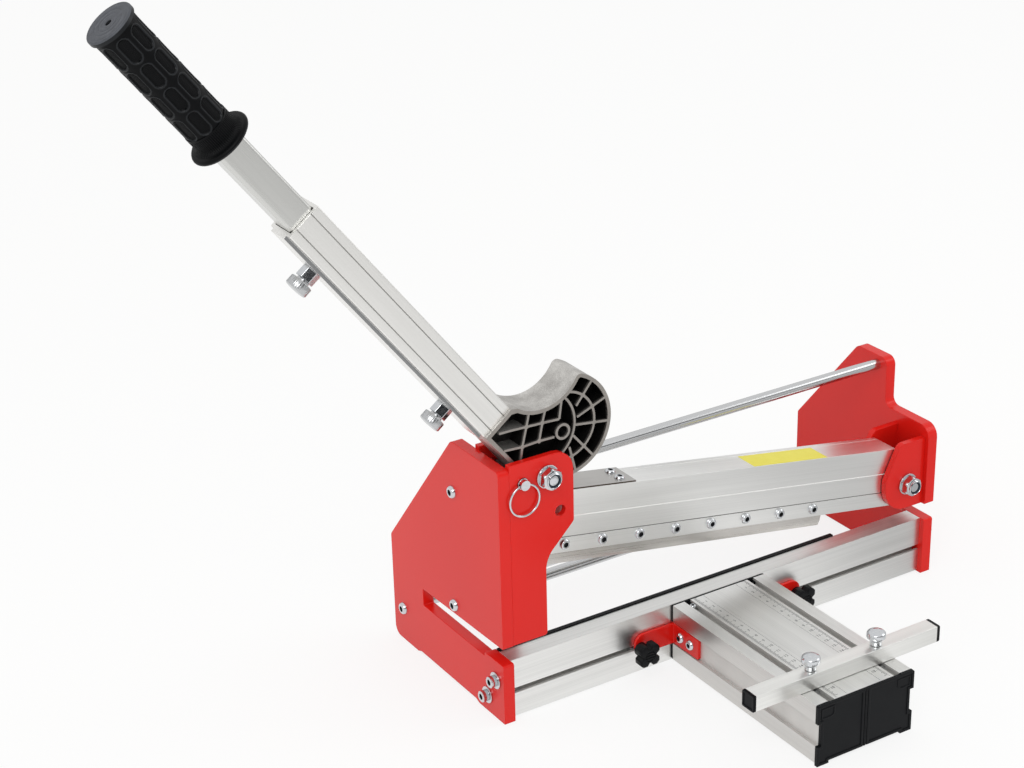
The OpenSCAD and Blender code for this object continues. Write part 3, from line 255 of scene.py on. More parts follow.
def eased(node, edge, steps=3):
    """Plain mesh of a CAD node, its triangles joined and its corners eased by up to edge millimetres."""
    flat, corner = math.radians(0.4), math.radians(35)
    mesh = parts[node].data.copy()
    mesh.name = node + "_eased"
    mesh.materials.clear()
    work = bmesh.new()
    work.from_mesh(mesh)
    bmesh.ops.remove_doubles(work, verts=work.verts, dist=0.01 * MM)
    bmesh.ops.dissolve_limit(work, angle_limit=flat, verts=work.verts, edges=work.edges)
    work.to_mesh(mesh)
    work.free()
    for layer in [a for a in mesh.attributes if a.name in ("custom_normal", "sharp_face", "sharp_edge")]:
        mesh.attributes.remove(layer)
    mesh.shade_smooth()
    raw = placed(node + "_raw", mesh)
    ease = raw.modifiers.new("ease", "BEVEL")
    ease.width, ease.segments, ease.limit_method, ease.angle_limit = edge * MM, steps, "ANGLE", corner
    even = raw.modifiers.new("even", "WEIGHTED_NORMAL")
    even.weight, even.mode = 100, "FACE_AREA"
    return plain_mesh(raw)


def fit(name, mesh, finishes, body, *nodes, slot):
    """Puts a finished mesh in the scene: it rides on body and stands for nodes."""
    mesh.name = name
    for i, finish in enumerate(finishes):
        if i < len(mesh.materials):
            mesh.materials[i] = finish
        else:
            mesh.materials.append(finish)
    piece = placed(name, mesh)
    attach(piece, body)
    if nodes:
        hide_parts(*nodes)


along_rail, along_depth = (0, 0, 0), (0, 0, math.radians(90))
rail_finish = drawn_aluminium("satin_anodised_rail", "#efefed", "#dadad8", along_rail, 0.34)
# The inside of the slot is the rail's own aluminium, given here a paler, rougher and less metallic grey:
# painted light, the floor's light reaching into the slot. The table's slots take it too.
slot_painted_light = clouded("slot_inside_painted_light", 25, 1.0, "#c9c8c5", "#d9d8d5", Metallic=0.6, Roughness=0.55)
slot_lip, slot_deep, slot_low, slot_high = 0.6, 14, 15, 35
rail = eased("base_rail", 0.3, 2)
low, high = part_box("base_rail")
for face in rail.polygons:
    depth, height = (face.center.y - low.y) / MM, face.center.z / MM
    inside = slot_lip < depth < slot_deep and slot_low < height < slot_high
    face.material_index = 1 if inside and abs(face.normal.x) < 0.5 else 0
fit("base_rail_profile", rail, [rail_finish, slot_painted_light], "base", "base_rail", slot="rail_aluminium")


# Cutting strip: a bar of hard black plastic pushed into the back of the rail, which the blade closes on.
# Its face is fine-grained from the mould.
def moulded_black(name, dark, pale, rough, grain):
    """Black moulded plastic. Its mould grain is drawn grain millimetres wide, coarser than real, to show."""
    made, tree, skin, place = start_finish(name, Roughness=rough, Specular_IOR_Level=0.13)
    cells = add(tree, "ShaderNodeTexVoronoi", {"Vector": place, "Scale": 1 / (grain * MM)})
    cloud = add(tree, "ShaderNodeTexNoise", {"Vector": place, "Scale": 1 / (14 * MM), "Detail": 3.0})
    end_finish(tree, skin, (cloud, dark, pale), (cloud, 0.3, 0.7, rough - 0.05, rough + 0.06),
               (cells, 0.3, 0.04), (0.5, 4))
    return made


black_plastic = moulded_black("black_moulded_plastic", "#05070a", "#0a0c10", 0.42, 0.5)
fit("cutting_strip", eased("anvil_strip", 0.25, 2), [black_plastic], "base", "anvil_strip",
    slot="black_plastic")


# Red plates, cheeks and ears: cut from thick steel plate, edges broken, then enamelled a glossy red.
# The paint rounds the edges softly, and its gloss varies a little over a plate.
enamel, tree, skin, place = start_finish("glossy_red_enamel", IOR=1.36)
gloss = add(tree, "ShaderNodeTexNoise", {"Vector": place, "Scale": 1 / (90 * MM), "Detail": 0.0})
cloud = add(tree, "ShaderNodeTexNoise", {"Vector": place, "Scale": 1 / (120 * MM), "Detail": 0.0})
end_finish(tree, skin, (cloud, "#d21710", "#dc1e16"), (gloss, 0.3, 0.7, 0.21, 0.25), edge=(0.9, 8))
plate_edge, cheek_edge = 0.8, 0.5
for node, edge in (("left_end_plate", plate_edge), ("right_end_plate", plate_edge),
                   ("front_cheek", cheek_edge), ("rear_cheek", cheek_edge)):
    fit("enamelled_" + node, eased(node, edge), [enamel], "base", node, slot="red_paint")
for node in ("front_ear", "rear_ear"):
    parts[node].data.materials[0] = enamel


# Tie rods: three drawn steel bars, plated, tapped at both ends and pulled tight between the end plates.
# The draw lines run lengthwise, and are drawn coarser than real, to show.
rod_finish, tree, skin, place = start_finish("drawn_plated_steel", Metallic=1.0)
along = add(tree, "ShaderNodeMapping", {"Vector": place, "Scale": (90 * MM, 0.8 * MM, 0.8 * MM)},
            vector_type="TEXTURE")
lines = add(tree, "ShaderNodeTexNoise", {"Vector": along.outputs[0], "Scale": 1.0, "Detail": 2.0})
end_finish(tree, skin, (lines, "#c4c5c6", "#d6d7d8"), (lines, 0, 1, 0.16, 0.22))
for node in ("upper_tie_rod", "lower_tie_rod", "rear_tie_rod"):
    parts[node].data.materials[0] = rod_finish


# Button screws: domed steel heads with a hexagon socket, zinc plated and bright. They hold the tie rods,
# the blade, the wear plate and the table's brackets, so one head is turned here and set in every place.
def lofted(work, rows):
    """Joins each ring of points to the next."""
    for low, high in zip(rows, rows[1:]):
        for i in range(len(low)):
            j = (i + 1) % len(low)
            work.faces.new((low[i], low[j], high[j], high[i]))


def capped(work, row, tip_at):
    """Closes a ring of points with a fan round one point."""
    tip = work.verts.new(tip_at)
    for i in range(len(row)):
        work.faces.new((tip, row[(i + 1) % len(row)], row[i]))


def shaped(work, sharp=38):
    """Mesh of a shape, its faces outwards, smooth but for edges past that many degrees."""
    bmesh.ops.recalc_face_normals(work, faces=work.faces)
    made = bpy.data.meshes.new("shape")
    work.to_mesh(made)
    work.free()
    made.shade_smooth()
    made.set_sharp_from_angle(angle=math.radians(sharp))
    return made


def round_rows(work, rings, count):
    """Rings of count points up the Z axis, each from (height, radius) or (height, radius of each point)."""
    rows = []
    for height, radius in rings:
        reach = radius if isinstance(radius, list) else [radius] * count
        rows.append([work.verts.new((reach[i] * math.cos(math.tau * i / count) * MM,
                                     reach[i] * math.sin(math.tau * i / count) * MM, height * MM))
                     for i in range(count)])
    return rows


def turned(rings, count=48, inner=None):
    """Solid mesh of rings up the Z axis. The faces from ring number inner on are a socket's inside."""
    work = bmesh.new()
    rows = round_rows(work, rings, count)
    lofted(work, rows)
    capped(work, rows[0], (0, 0, rings[0][0] * MM))
    capped(work, rows[-1], (0, 0, rings[-1][0] * MM))
    made = shaped(work)
    if inner is not None:
        mark = made.attributes.new("inside", "BOOLEAN", "FACE")
        caps = (len(rings) - 1) * count
        for i in range(len(made.polygons)):
            mark.data[i].value = inner * count <= i < caps or i >= caps + count
    return made


def hexagon(flats, count=48):
    """Radii of a hexagon of that width across its flats."""
    return [flats / 2 / math.cos((math.tau * i / count + math.pi / 6) % (math.pi / 3) - math.pi / 6)
            for i in range(count)]


def button_head(head, rise, thread, reach, count=48):
    """Button screw, its head up from zero and its shank down. Its sizes are in millimetres."""
    socket, lip, foot, steps = head * 0.42, head * 0.31, 0.2, 6
    dome = [(rise * foot + rise * (1 - foot) * (1 - (k / steps) ** 2),
             lip + (head / 2 - lip) * (k / steps) ** 0.75) for k in range(steps + 1)]
    side = [(0, head / 2 - 0.12), (0.12, head / 2)] + dome[::-1]
    inside = [(rise * 0.98, [max(r, socket / 2) * 1.06 for r in hexagon(socket, count)]),
              (rise * 0.86, hexagon(socket, count)), (rise * 0.25, hexagon(socket, count)),
              (rise * 0.2, [r * 0.7 for r in hexagon(socket, count)])]
    shank = [(-reach, thread / 2 - 0.3), (0.3 - reach, thread / 2), (0, thread / 2)]
    return turned(shank + side + inside, count, len(shank + side))


def start_tree(name, output, **inputs):
    """New Geometry Nodes tree with its output and its inputs, each of a kind: returns it and their node."""
    tree = bpy.data.node_groups.new(name, "GeometryNodeTree")
    for key, kind in inputs.items():
        tree.interface.new_socket(key.replace("_", " "), in_out="INPUT", socket_type="NodeSocket" + kind)
    tree.interface.new_socket(output, in_out="OUTPUT", socket_type="NodeSocketGeometry")
    return tree, add(tree, "NodeGroupInput")


def end_tree(tree, laid, given):
    """Makes what a tree has laid out real, in the finish that the tree is given."""
    plain = add(tree, "GeometryNodeRealizeInstances", {0: laid.outputs[0]})
    return add(tree, "GeometryNodeSetMaterial",
               {0: plain.outputs[0], "Material": given.outputs["Finish"]})


def setting_tree():
    """Tree that sets one thing on every point, turned as the point's own turn says."""
    tree, given = start_tree("set_in_place", "Pieces", Points="Geometry", Thing="Object",
                             Finish="Material", Socket_Finish="Material")
    thing = add(tree, "GeometryNodeObjectInfo", {"Object": given.outputs["Thing"]})
    turn = add(tree, "GeometryNodeInputNamedAttribute", {"Name": "turn"}, data_type="FLOAT_VECTOR")
    spin = add(tree, "FunctionNodeEulerToRotation", {0: turn.outputs[0]})
    laid = add(tree, "GeometryNodeInstanceOnPoints",
               {"Points": given.outputs["Points"], "Instance": thing.outputs["Geometry"],
                "Rotation": spin.outputs[0]})
    skinned = end_tree(tree, laid, given)
    inside = add(tree, "GeometryNodeInputNamedAttribute", {"Name": "inside"}, data_type="BOOLEAN")
    darkened = add(tree, "GeometryNodeSetMaterial",
                   {0: skinned.outputs[0], "Selection": inside.outputs[0],
                    "Material": given.outputs["Socket Finish"]})
    add(tree, "NodeGroupOutput", {0: darkened.outputs[0]})
    return tree


def grow(tree, base, values):
    """Plain mesh that a tree makes from the base mesh, with its inputs set by their own names."""
    holder = placed("holder", base)
    maker = holder.modifiers.new("maker", "NODES")
    maker.node_group = tree
    for socket in tree.interface.items_tree:
        if socket.item_type == "SOCKET" and socket.in_out == "INPUT" and socket.name in values:
            maker[socket.identifier] = values[socket.name]
    return plain_mesh(holder)


set_in_place = setting_tree()
# The insides of the screw and bolt sockets, and of the lock nuts' collars, take a dark steel: painted shade,
# the dark inside a deep socket.
socket_painted_shade = clouded("socket_painted_shade_steel", 1.5, 3.0, "#26282b", "#3c3e42", Metallic=0.7, Roughness=0.5)
zinc = clouded("bright_zinc_plating", 2.5, 3.0, "#c3c6ca", "#dcdee0", (0.1, 0.2), Metallic=1.0)


def set_things(name, thing, finish, places, body, *nodes, slot="plated_steel"):
    """Finished piece of the mesh thing set at every place: a point and the way its Z axis looks."""
    base = bpy.data.meshes.new("places")
    base.from_pydata([p for p, way in places], [], [])
    turns = base.attributes.new("turn", "FLOAT_VECTOR", "POINT")
    for i, (p, way) in enumerate(places):
        turns.data[i].vector = Vector(way).to_track_quat("Z", "Y").to_euler()
    model = placed("model", thing)
    made = grow(set_in_place, base, {"Thing": model, "Finish": finish, "Socket Finish": socket_painted_shade})
    bpy.data.objects.remove(model)
    fit(name, made, [], body, *nodes, slot=slot)


def spans(node):
    """Lowest and highest corner of each separate solid of a CAD node."""
    work = bmesh.new()
    work.from_mesh(parts[node].data)
    bmesh.ops.remove_doubles(work, verts=work.verts, dist=0.01 * MM)
    met, found = set(), []
    for start in work.verts:
        if start in met:
            continue
        met.add(start)
        group = [start]
        for v in group:
            near = [e.other_vert(v) for e in v.link_edges]
            group += [w for w in near if w not in met]
            met.update(near)
        found.append([Vector([pick(v.co[i] for v in group) for i in range(3)]) for pick in (min, max)])
    work.free()
    return found


def side_places(node, head, middle=0.0):
    """Place for each screw of a node that looks away from the middle along X, its head that high."""
    places = []
    for low, high in spans(node):
        left = (low.x + high.x) / 2 < middle
        x = low.x + head * MM if left else high.x - head * MM
        places.append(((x, (low.y + high.y) / 2, (low.z + high.z) / 2), (-1 if left else 1, 0, 0)))
    return places


rod_rise = 3.3
set_things("rod_button_screws", button_head(11.5, rod_rise, 6, 22), zinc,
           side_places("tie_rod_screws", rod_rise), "base", "tie_rod_screws")


# Rail bolts: socket-head cap bolts with a knurled rim, two through each end plate into the rail's ports,
# each on a plain pressed washer.
def knurled(radius, depth, count):
    """Radii of a knurled rim, one point in three sunk by depth."""
    return [radius - (depth if i % 3 == 0 else 0) for i in range(count)]


def cap_head(head, rise, thread, reach, count=72):
    """Socket-head bolt with a knurled side, its head up from zero and its shank down, in millimetres."""
    knurl = knurled(head / 2, 0.22, count)
    socket = hexagon(head * 0.5, count)
    outside = [(-reach, thread / 2 - 0.3), (0.3 - reach, thread / 2), (0, thread / 2), (0, head / 2 - 0.4),
               (0.4, knurl), (rise - 0.9, knurl), (rise - 0.8, head / 2), (rise - 0.5, head / 2),
               (rise, head / 2 - 0.6), (rise, [r + 0.35 for r in socket]), (rise - 0.3, socket)]
    inside = [(rise * 0.45, socket), (rise * 0.4, [r * 0.6 for r in socket])]
    return turned(outside + inside, count, len(outside) - 1)


bolt_rise = 6
set_things("rail_cap_bolts", cap_head(10, bolt_rise, 6, 28), zinc, side_places("rail_bolts", bolt_rise),
           "base", "rail_bolts")
fit("rail_bolt_washers", eased("rail_washers", 0.25, 2), [zinc], "base", "rail_washers",
    slot="plated_steel")


# Blade beam: a box profile of satin aluminium with shallow lines along its faces, hinged at the right
# and raised at rest by a spring inside it. Its upper line is painted nearly white, a painted highlight,
# and its lower line grey, painted shade in the groove.
beam_raise = math.radians(9.77)
along_beam = (0, beam_raise, 0)
beam_finish = drawn_aluminium("satin_beam_profile", "#f6f6f4", "#e9e9e7", along_beam, 0.33)
# Painted shade for the lower groove and a painted highlight for the upper one.
groove_painted_shade = clouded("shaded_groove", 6, 3.0, "#7d7c79", "#9b9a97", Metallic=0.7, Roughness=0.5)
groove_painted_highlight = clouded("upper_groove_painted_highlight", 6, 3.0, "#f4f4f2", "#fbfbfa", Metallic=0.2, Roughness=0.5)
beam = eased("blade_beam", 0.35, 2)
low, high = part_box("blade_beam")
joint_at = {j["name"]: j for j in frame["joints"]}
hinge = Vector(joint_at["beam_swing"]["pos_m"])
beam_z = Vector((math.sin(beam_raise), 0, math.cos(beam_raise)))
for face in beam.polygons:
    grooved = 0.1 * MM < min(face.center.y - low.y, high.y - face.center.y) < 0.6 * MM
    under_hinge = (face.center - hinge).dot(beam_z) < 0
    face.material_index = (1 if under_hinge else 2) if grooved else 0
fit("blade_beam_profile", beam, [beam_finish, groove_painted_shade, groove_painted_highlight], "beam", "blade_beam",
    slot="bar_aluminium")


# Blade: ground tool steel, its fine grind lines running lengthwise, honed to a bevel on both sides.
# Wear plate: a cold-rolled steel strip under the cam, guillotined, so its edges are dark and rough.
beam_x = Vector((math.cos(beam_raise), 0, -math.sin(beam_raise)))
across_beam = Vector((0, -1, 0))


def on_beam(x, y, z):
    """Point on the beam from its place along, across and above the hinge, in millimetres."""
    return hinge + (beam_x * x + Vector((0, y, 0)) + beam_z * z) * MM


def ground_steel(name, pale, deep, grain, rough):
    """Ground steel. grain gives the size of its lines along, across and through, coarse enough to show."""
    made, tree, skin, place = start_finish(name, Metallic=1.0)
    along = add(tree, "ShaderNodeMapping",
                {"Vector": place, "Rotation": along_beam, "Scale": tuple(g * MM for g in grain)},
                vector_type="TEXTURE")
    lines = add(tree, "ShaderNodeTexNoise",
                {"Vector": along.outputs[0], "Scale": 1.0, "Detail": 4.0, "Roughness": 0.6})
    cloud = add(tree, "ShaderNodeTexNoise", {"Vector": place, "Scale": 1 / (45 * MM), "Detail": 2.0})
    both = add(tree, "ShaderNodeMix", {0: 0.45, 2: lines.outputs[0], 3: cloud.outputs[0]})
    level = add(tree, "ShaderNodeMapRange", {"Value": both.outputs[0], "From Min": 0.32, "From Max": 0.68})
    end_finish(tree, skin, (level, deep, pale), (lines, 0.3, 0.7, rough - 0.06, rough + 0.08),
               (lines, 0.3, 0.02))
    return made


blade_finish = ground_steel("ground_tool_steel", "#d8d5d1", "#c1bdb8", (120, 3, 1.1), 0.3)
plate_finish = ground_steel("cold_rolled_steel", "#cac8c5", "#b2b0ad", (60, 1.0, 60), 0.36)
cut_edge = ground_steel("sheared_steel_edge", "#6c5b4e", "#3b322c", (1.5, 1.5, 0.5), 0.6)
fit("ground_blade", eased("blade", 0.06, 1), [blade_finish], "beam", "blade", slot="blade_steel")
plate = eased("wear_plate", 0.12, 1)
for face in plate.polygons:
    face.material_index = 0 if abs(face.normal.dot(beam_z)) > 0.5 else 1
fit("cam_wear_plate", plate, [plate_finish, cut_edge], "beam", "wear_plate", slot="blade_steel")
screw_count, screw_first, screw_row, screw_z = 8, -104.7, 270.4, -15.9
blade_screws = [on_beam(screw_first - i * screw_row / (screw_count - 1), 0, screw_z)
                for i in range(screw_count)]
for place in blade_screws:
    place.y = low.y
set_things("blade_button_screws", button_head(10, 2.8, 5, 24), zinc,
           [(place, across_beam) for place in blade_screws], "beam", "blade_screws")
wear_screw_x, wear_screw_y, wear_top = -321.4, 7, 34.4
wear_screws = [(on_beam(wear_screw_x, hand * wear_screw_y, wear_top), beam_z) for hand in (-1, 1)]
set_things("wear_plate_button_screws", button_head(9.4, 2.4, 4, 5.5), zinc, wear_screws, "beam",
           "wear_plate_screws")


# Beam label: a strip of yellow vinyl film stuck to the top of the beam, left bare, with a slight gloss.
# The film follows small unevenness of the metal under it.
film, tree, skin, place = start_finish("yellow_vinyl_film", Roughness=0.32, IOR=1.5)
cloud = add(tree, "ShaderNodeTexNoise", {"Vector": place, "Scale": 1 / (9 * MM), "Detail": 2.0})
end_finish(tree, skin, (cloud, "#ddd12a", "#e6dc48"), relief=(cloud, 0.2, 0.03))
parts["beam_label"].data.materials[0] = film


# Bushes of sintered bronze in the beam and the cam, and the blackened spring that lifts the beam.
# They are pressed in and mostly hidden.
bronze = clouded("sintered_bronze", 0.6, 4.0, "#8d6f33", "#c3a35a", Metallic=1.0, Roughness=0.45)
blackened = clouded("blackened_steel", 1.8, 3.0, "#2b2e33", "#4d5157", Metallic=1.0, Roughness=0.4)
for node, finish in (("beam_bush", bronze), ("cam_bush", bronze), ("return_spring", blackened)):
    parts[node].data.materials[0] = finish


# Pivot bolts with lock nuts: bright zinc hexagons with chamfered corners. The nut's round collar grips a
# ring of dark nylon, and the bolt's rounded end shows in it.
def lock_nut(flats, rise, collar, collar_h, hole, count=96):
    """Lock nut up from zero in millimetres, its hexagon chamfered at both ends, with a collar on top."""
    tips = hexagon(flats, count)
    cut = [min(r, flats / 2 * 1.03) for r in tips]
    rim, top = collar / 2, rise + collar_h
    return turned([(0.9, hole), (0, hole + 0.6), (0, cut), (0.9, tips), (rise - 1.3, tips),
                   (rise - 0.35, cut), (rise, rim + 0.4), (rise + 0.4, rim), (top - 0.5, rim),
                   (top, rim - 0.6), (top - 0.3, rim - 0.85), (top - 1.6, rim - 0.85)], count, 10)


def hexagon_bolt(flats, rise, thread, length, count=96):
    """Hexagon bolt up from the outer face of its head, with a rounded bright end."""
    tips = hexagon(flats, count)
    cut = [min(r, flats / 2 * 1.03) for r in tips]
    stem = thread / 2
    return turned([(0, flats / 2 - 1.2), (0.15, cut), (0.9, tips), (rise - 0.1, tips), (rise, cut),
                   (rise, stem), (length - 1.0, stem), (length - 0.45, stem - 0.35),
                   (length - 0.12, stem - 1.1), (length - 0.02, stem - 2.6)], count)


def nylon_ring(outer, inner, foot, top, count=64):
    """Ring with a softened top edge, from foot to top."""
    soft = 0.2
    section = [(foot, inner), (foot, outer), (top - soft, outer), (top, outer - soft),
               (top, inner + soft), (top - soft, inner)]
    work = bmesh.new()
    rows = round_rows(work, section, count)
    lofted(work, rows + rows[:1])
    return shaped(work)


def front_place(node):
    """Place behind the middle of a node, for a thing that looks to the front."""
    low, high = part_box(node)
    return Vector(((low.x + high.x) / 2, high.y, (low.z + high.z) / 2)), (0, -1, 0)


nylon = clouded("dark_nylon", 2, 2.0, "#1f2b36", "#2c3a47", Roughness=0.4, IOR=1.53)
nut_flats, bolt_d = 17, 10
for name in ("lever", "beam"):
    seat = [front_place(name + "_pivot_nut")]
    set_things(name + "_lock_nut", lock_nut(nut_flats, 8, 13.6, 2.4, 5.05), zinc, seat, "base",
               name + "_pivot_nut")
    set_things(name + "_nut_nylon", nylon_ring(5.9, 5.02, 8.9, 10.0), nylon, seat, "base",
               slot="black_plastic")
    low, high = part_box(name + "_pivot_bolt")
    seat[0][0].y = high.y
    set_things(name + "_bolt", hexagon_bolt(nut_flats, 6.4, bolt_d, (high.y - low.y) / MM), zinc, seat,
               "base", name + "_pivot_bolt")
    fit(name + "_bolt_washers", eased(name + "_pivot_washers", 0.35, 2), [zinc], "base",
        name + "_pivot_washers", slot="plated_steel")


# Cam casting: die-cast aluminium with deep pockets between thin ribs. Tumbling with stones has brightened
# its rim. Its pockets are painted darker towards their bottoms, painted shade between the ribs, and the
# rib tops stay pale. Its grit is drawn about four times its real size, to show.
def cast_noises(tree, place, size):
    """Grit of the casting, and clouds size millimetres across."""
    grit = add(tree, "ShaderNodeTexNoise",
               {"Vector": place, "Scale": 1 / (0.9 * MM), "Detail": 4.0, "Roughness": 0.7})
    return grit, add(tree, "ShaderNodeTexNoise", {"Vector": place, "Scale": 1 / (size * MM), "Detail": 3.0})


pivot = Vector(joint_at["lever_swing"]["pos_m"])
cast, tree, skin, place = start_finish("cast_aluminium_painted_pocket_shade", Metallic=0.85)
grit, cloud = cast_noises(tree, place, 11)
where = add(tree, "ShaderNodeSeparateXYZ", {0: place})
off = add(tree, "ShaderNodeMath", {0: where.outputs["Y"], 1: pivot.y}, operation="SUBTRACT")
deep = add(tree, "ShaderNodeMath", {0: off.outputs[0]}, operation="ABSOLUTE")
# Painted shade: below the rib tops the casting darkens to near black towards the bottoms of its pockets.
outer = add(tree, "ShaderNodeMapRange",
            {"Value": deep.outputs[0], "From Min": 15.5 * MM, "From Max": 18.0 * MM})
bright = end_finish(tree, skin, (cloud, "#928d88", "#b0aba5"), (grit, 0, 1, 0.38, 0.6),
                    (grit, 0.35, 0.12))
tone = add(tree, "ShaderNodeMix", {0: outer.outputs[0], 6: linear("#2b2a29"), 7: bright.outputs[2]},
           data_type="RGBA")
tree.links.new(tone.outputs[2], skin.inputs["Base Color"])
rim_finish, tree, skin, place = start_finish("tumbled_cast_rim", Metallic=0.9)
grit, cloud = cast_noises(tree, place, 16)
both = add(tree, "ShaderNodeMix", {0: 0.55, 2: cloud.outputs[0], 3: grit.outputs[0]})
level = add(tree, "ShaderNodeMapRange", {"Value": both.outputs[0], "From Min": 0.38, "From Max": 0.62})
end_finish(tree, skin, (level, "#a5a29e", "#dad8d4"), (grit, 0, 1, 0.36, 0.56), (grit, 0.3, 0.1))
arm = Vector(joint_at["extension_slide"]["axis"])
under = Vector((-arm.z, 0, arm.x))
cam_mid, cam_r = Vector((22.3, 35.4)), 46.1
bite_mid, bite_r = Vector((0.4, 95.5)), 39.3
nose_mid, nose_r = Vector((38.8, 72.5)), 5.5
socket_end, socket_under = 66.2, 12.8
slack = 0.6
casting = eased("cam_casting", 0.45, 2)
for face in casting.polygons:
    spot = (face.center - pivot) / MM
    flat = Vector((spot.x, spot.z))
    outside = ((flat - cam_mid).length > cam_r - slack or (flat - bite_mid).length < bite_r + slack
               or abs((flat - nose_mid).length - nose_r) < slack
               or spot.dot(under) > socket_under or spot.dot(arm) > socket_end)
    face.material_index = 1 if outside else 0
fit("cam_casting_tumbled", casting, [cast, rim_finish], "lever", "cam_casting", slot="cast_aluminium")


# Lever sleeve: a square aluminium profile with two fine grooves on each side and a raised track
# underneath. Two bright hexagonal steel bosses stand on the track for the clamp screws.
along_arm = (0, -math.atan2(arm.z, arm.x), 0)
sleeve_finish = drawn_aluminium("satin_lever_profile", "#f6f5f2", "#ebeae7", along_arm, 0.36)
# The sides of the track are a darker copy of the sleeve's aluminium, painted shade under the sleeve, and the
# fine grooves are painted grey, painted shade in the grooves.
track_painted_shade = drawn_aluminium("lever_track_painted_shade", "#9fa0a0", "#87888a", along_arm, 0.4)
sleeve_groove_shade = clouded("sleeve_groove_painted_shade", 6, 3.0, "#9a9996", "#b3b2af", Metallic=0.7, Roughness=0.5)
arm_middle, track_start = 2.2, 15.7
sleeve = eased("lever_sleeve", 0.3, 2)
low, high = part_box("lever_sleeve")
for face in sleeve.polygons:
    sunk_by = min(face.center.y - low.y, high.y - face.center.y) / MM
    down_arm = (face.center - pivot).dot(under) / MM + arm_middle
    if down_arm > track_start and abs(face.normal.y) > 0.9:
        face.material_index = 2
    else:
        face.material_index = 1 if 0.1 < sunk_by < 1.5 and 3 < abs(down_arm) < 13 else 0
fit("lever_sleeve_profile", sleeve, [sleeve_finish, sleeve_groove_shade, track_painted_shade], "lever", "lever_sleeve",
    slot="bar_aluminium")
fit("clamp_bosses", eased("screw_bosses", 0.5, 2), [zinc], "lever", "screw_bosses", slot="plated_steel")


# Inner tube and hand grip: the tube slides in the sleeve. The grip is moulded rubber with a flange, a
# ribbed band and rows of lipped hollows, stretched on with air, so its end has a small hole. Its lips
# are paler, worn by use and a painted highlight; its end is grey, dust and a painted sheen.
tube_finish = drawn_aluminium("satin_inner_tube", "#dadad7", "#d0d0cd", along_arm, 0.3, 2.0)
fit("inner_tube_profile", eased("inner_tube", 0.2, 2), [tube_finish], "extension", "inner_tube",
    slot="bar_aluminium")
rubber, tree, skin, place = start_finish("black_grip_rubber", Specular_IOR_Level=0.1)
grit = add(tree, "ShaderNodeTexNoise", {"Vector": place, "Scale": 1 / (0.8 * MM), "Detail": 3.0})
cloud = add(tree, "ShaderNodeTexNoise", {"Vector": place, "Scale": 1 / (20 * MM), "Detail": 3.0})
end_finish(tree, skin, (cloud, "#050607", "#0a0b0d"), (cloud, 0.3, 0.7, 0.38, 0.5), (grit, 0.2, 0.04))
# Paler lips and rims: partly wear, partly a painted highlight. Grey end face: partly dust, partly a painted
# sheen.
lip_wear_and_highlight = clouded("worn_grip_rubber_painted_highlight", 5, 3.0, "#0a0c0e", "#1c1f23", (0.3, 0.45), Specular_IOR_Level=0.22)
dust_and_sheen = clouded("dusty_grip_end_painted_sheen", 4, 4.0, "#3b3d41", "#565960", Specular_IOR_Level=0.3)
grip_at, grip_l, grip_r = 409.0, 122.6, 17.5
flange_t, flange_r, flare_l, flare_r = 4.4, 24.7, 3.6, 21.0
band_l, band_r, band_rib, band_rib_turn = 15.0, 17.8, 0.55, 5
disc_t, disc_r, disc_groove, disc_soft = 4.6, 19.3, 1.4, 1.5
pad_turn, pad_step, pad_count = 27.6, 45, 4
pad_l, pad_w, pad_pitch, pad_first, pad_deep = 20.4, 8.4, 24.6, 30.3, 1.2
skin_sunk, rib_rise, rib_pitch, lip_rise = 0.4, 0.16, 1.2, 0.4


def pad_reach(u, a):
    """Distance from the rim of the nearest hollow, below zero inside it."""
    around = ((a - pad_turn + pad_step / 2) % pad_step - pad_step / 2) * math.radians(1) * grip_r
    nearest = min(pad_count - 1, max(0, round((u - pad_first) / pad_pitch)))
    along = abs(u - pad_first - nearest * pad_pitch)
    return math.hypot(max(0, along - (pad_l - pad_w) / 2), around) - pad_w / 2


def grip_radius(u, a):
    """Radius of the grip at u millimetres from its flange and a degrees round from its underside."""
    if u < flange_t:
        rounding = math.sin(math.acos(max(-1, min(1, 1 - 2 * u / flange_t))))
        return flange_r - flange_t / 2 * (1 - rounding)
    if u < flange_t + band_l:
        step = (a % band_rib_turn) / band_rib_turn
        flare = max(0, 1 - (u - flange_t) / flare_l)
        ribbed = abs(2 * step - 1) > 0.62 and u - flange_t < band_l - 1.5
        return band_r + (flare_r - band_r) * flare * flare - band_rib * ribbed
    if u > grip_l - disc_t:
        d = u - (grip_l - disc_t)
        bend = max(0, d - disc_t + disc_soft) / disc_soft
        return disc_r - (disc_groove if d < 0.5 else 0) - disc_soft * (1 - math.sqrt(max(0, 1 - bend ** 2)))
    reach = pad_reach(u, a)
    hollow = min(1, max(0, 0.5 - reach / 0.8))
    lip = math.exp(-((reach - 0.9) / 0.55) ** 2) * lip_rise
    ribs = rib_rise * (1 + math.cos(u * math.tau / rib_pitch)) * hollow
    return grip_r - pad_deep * hollow * hollow * (3 - 2 * hollow) + ribs + lip - skin_sunk


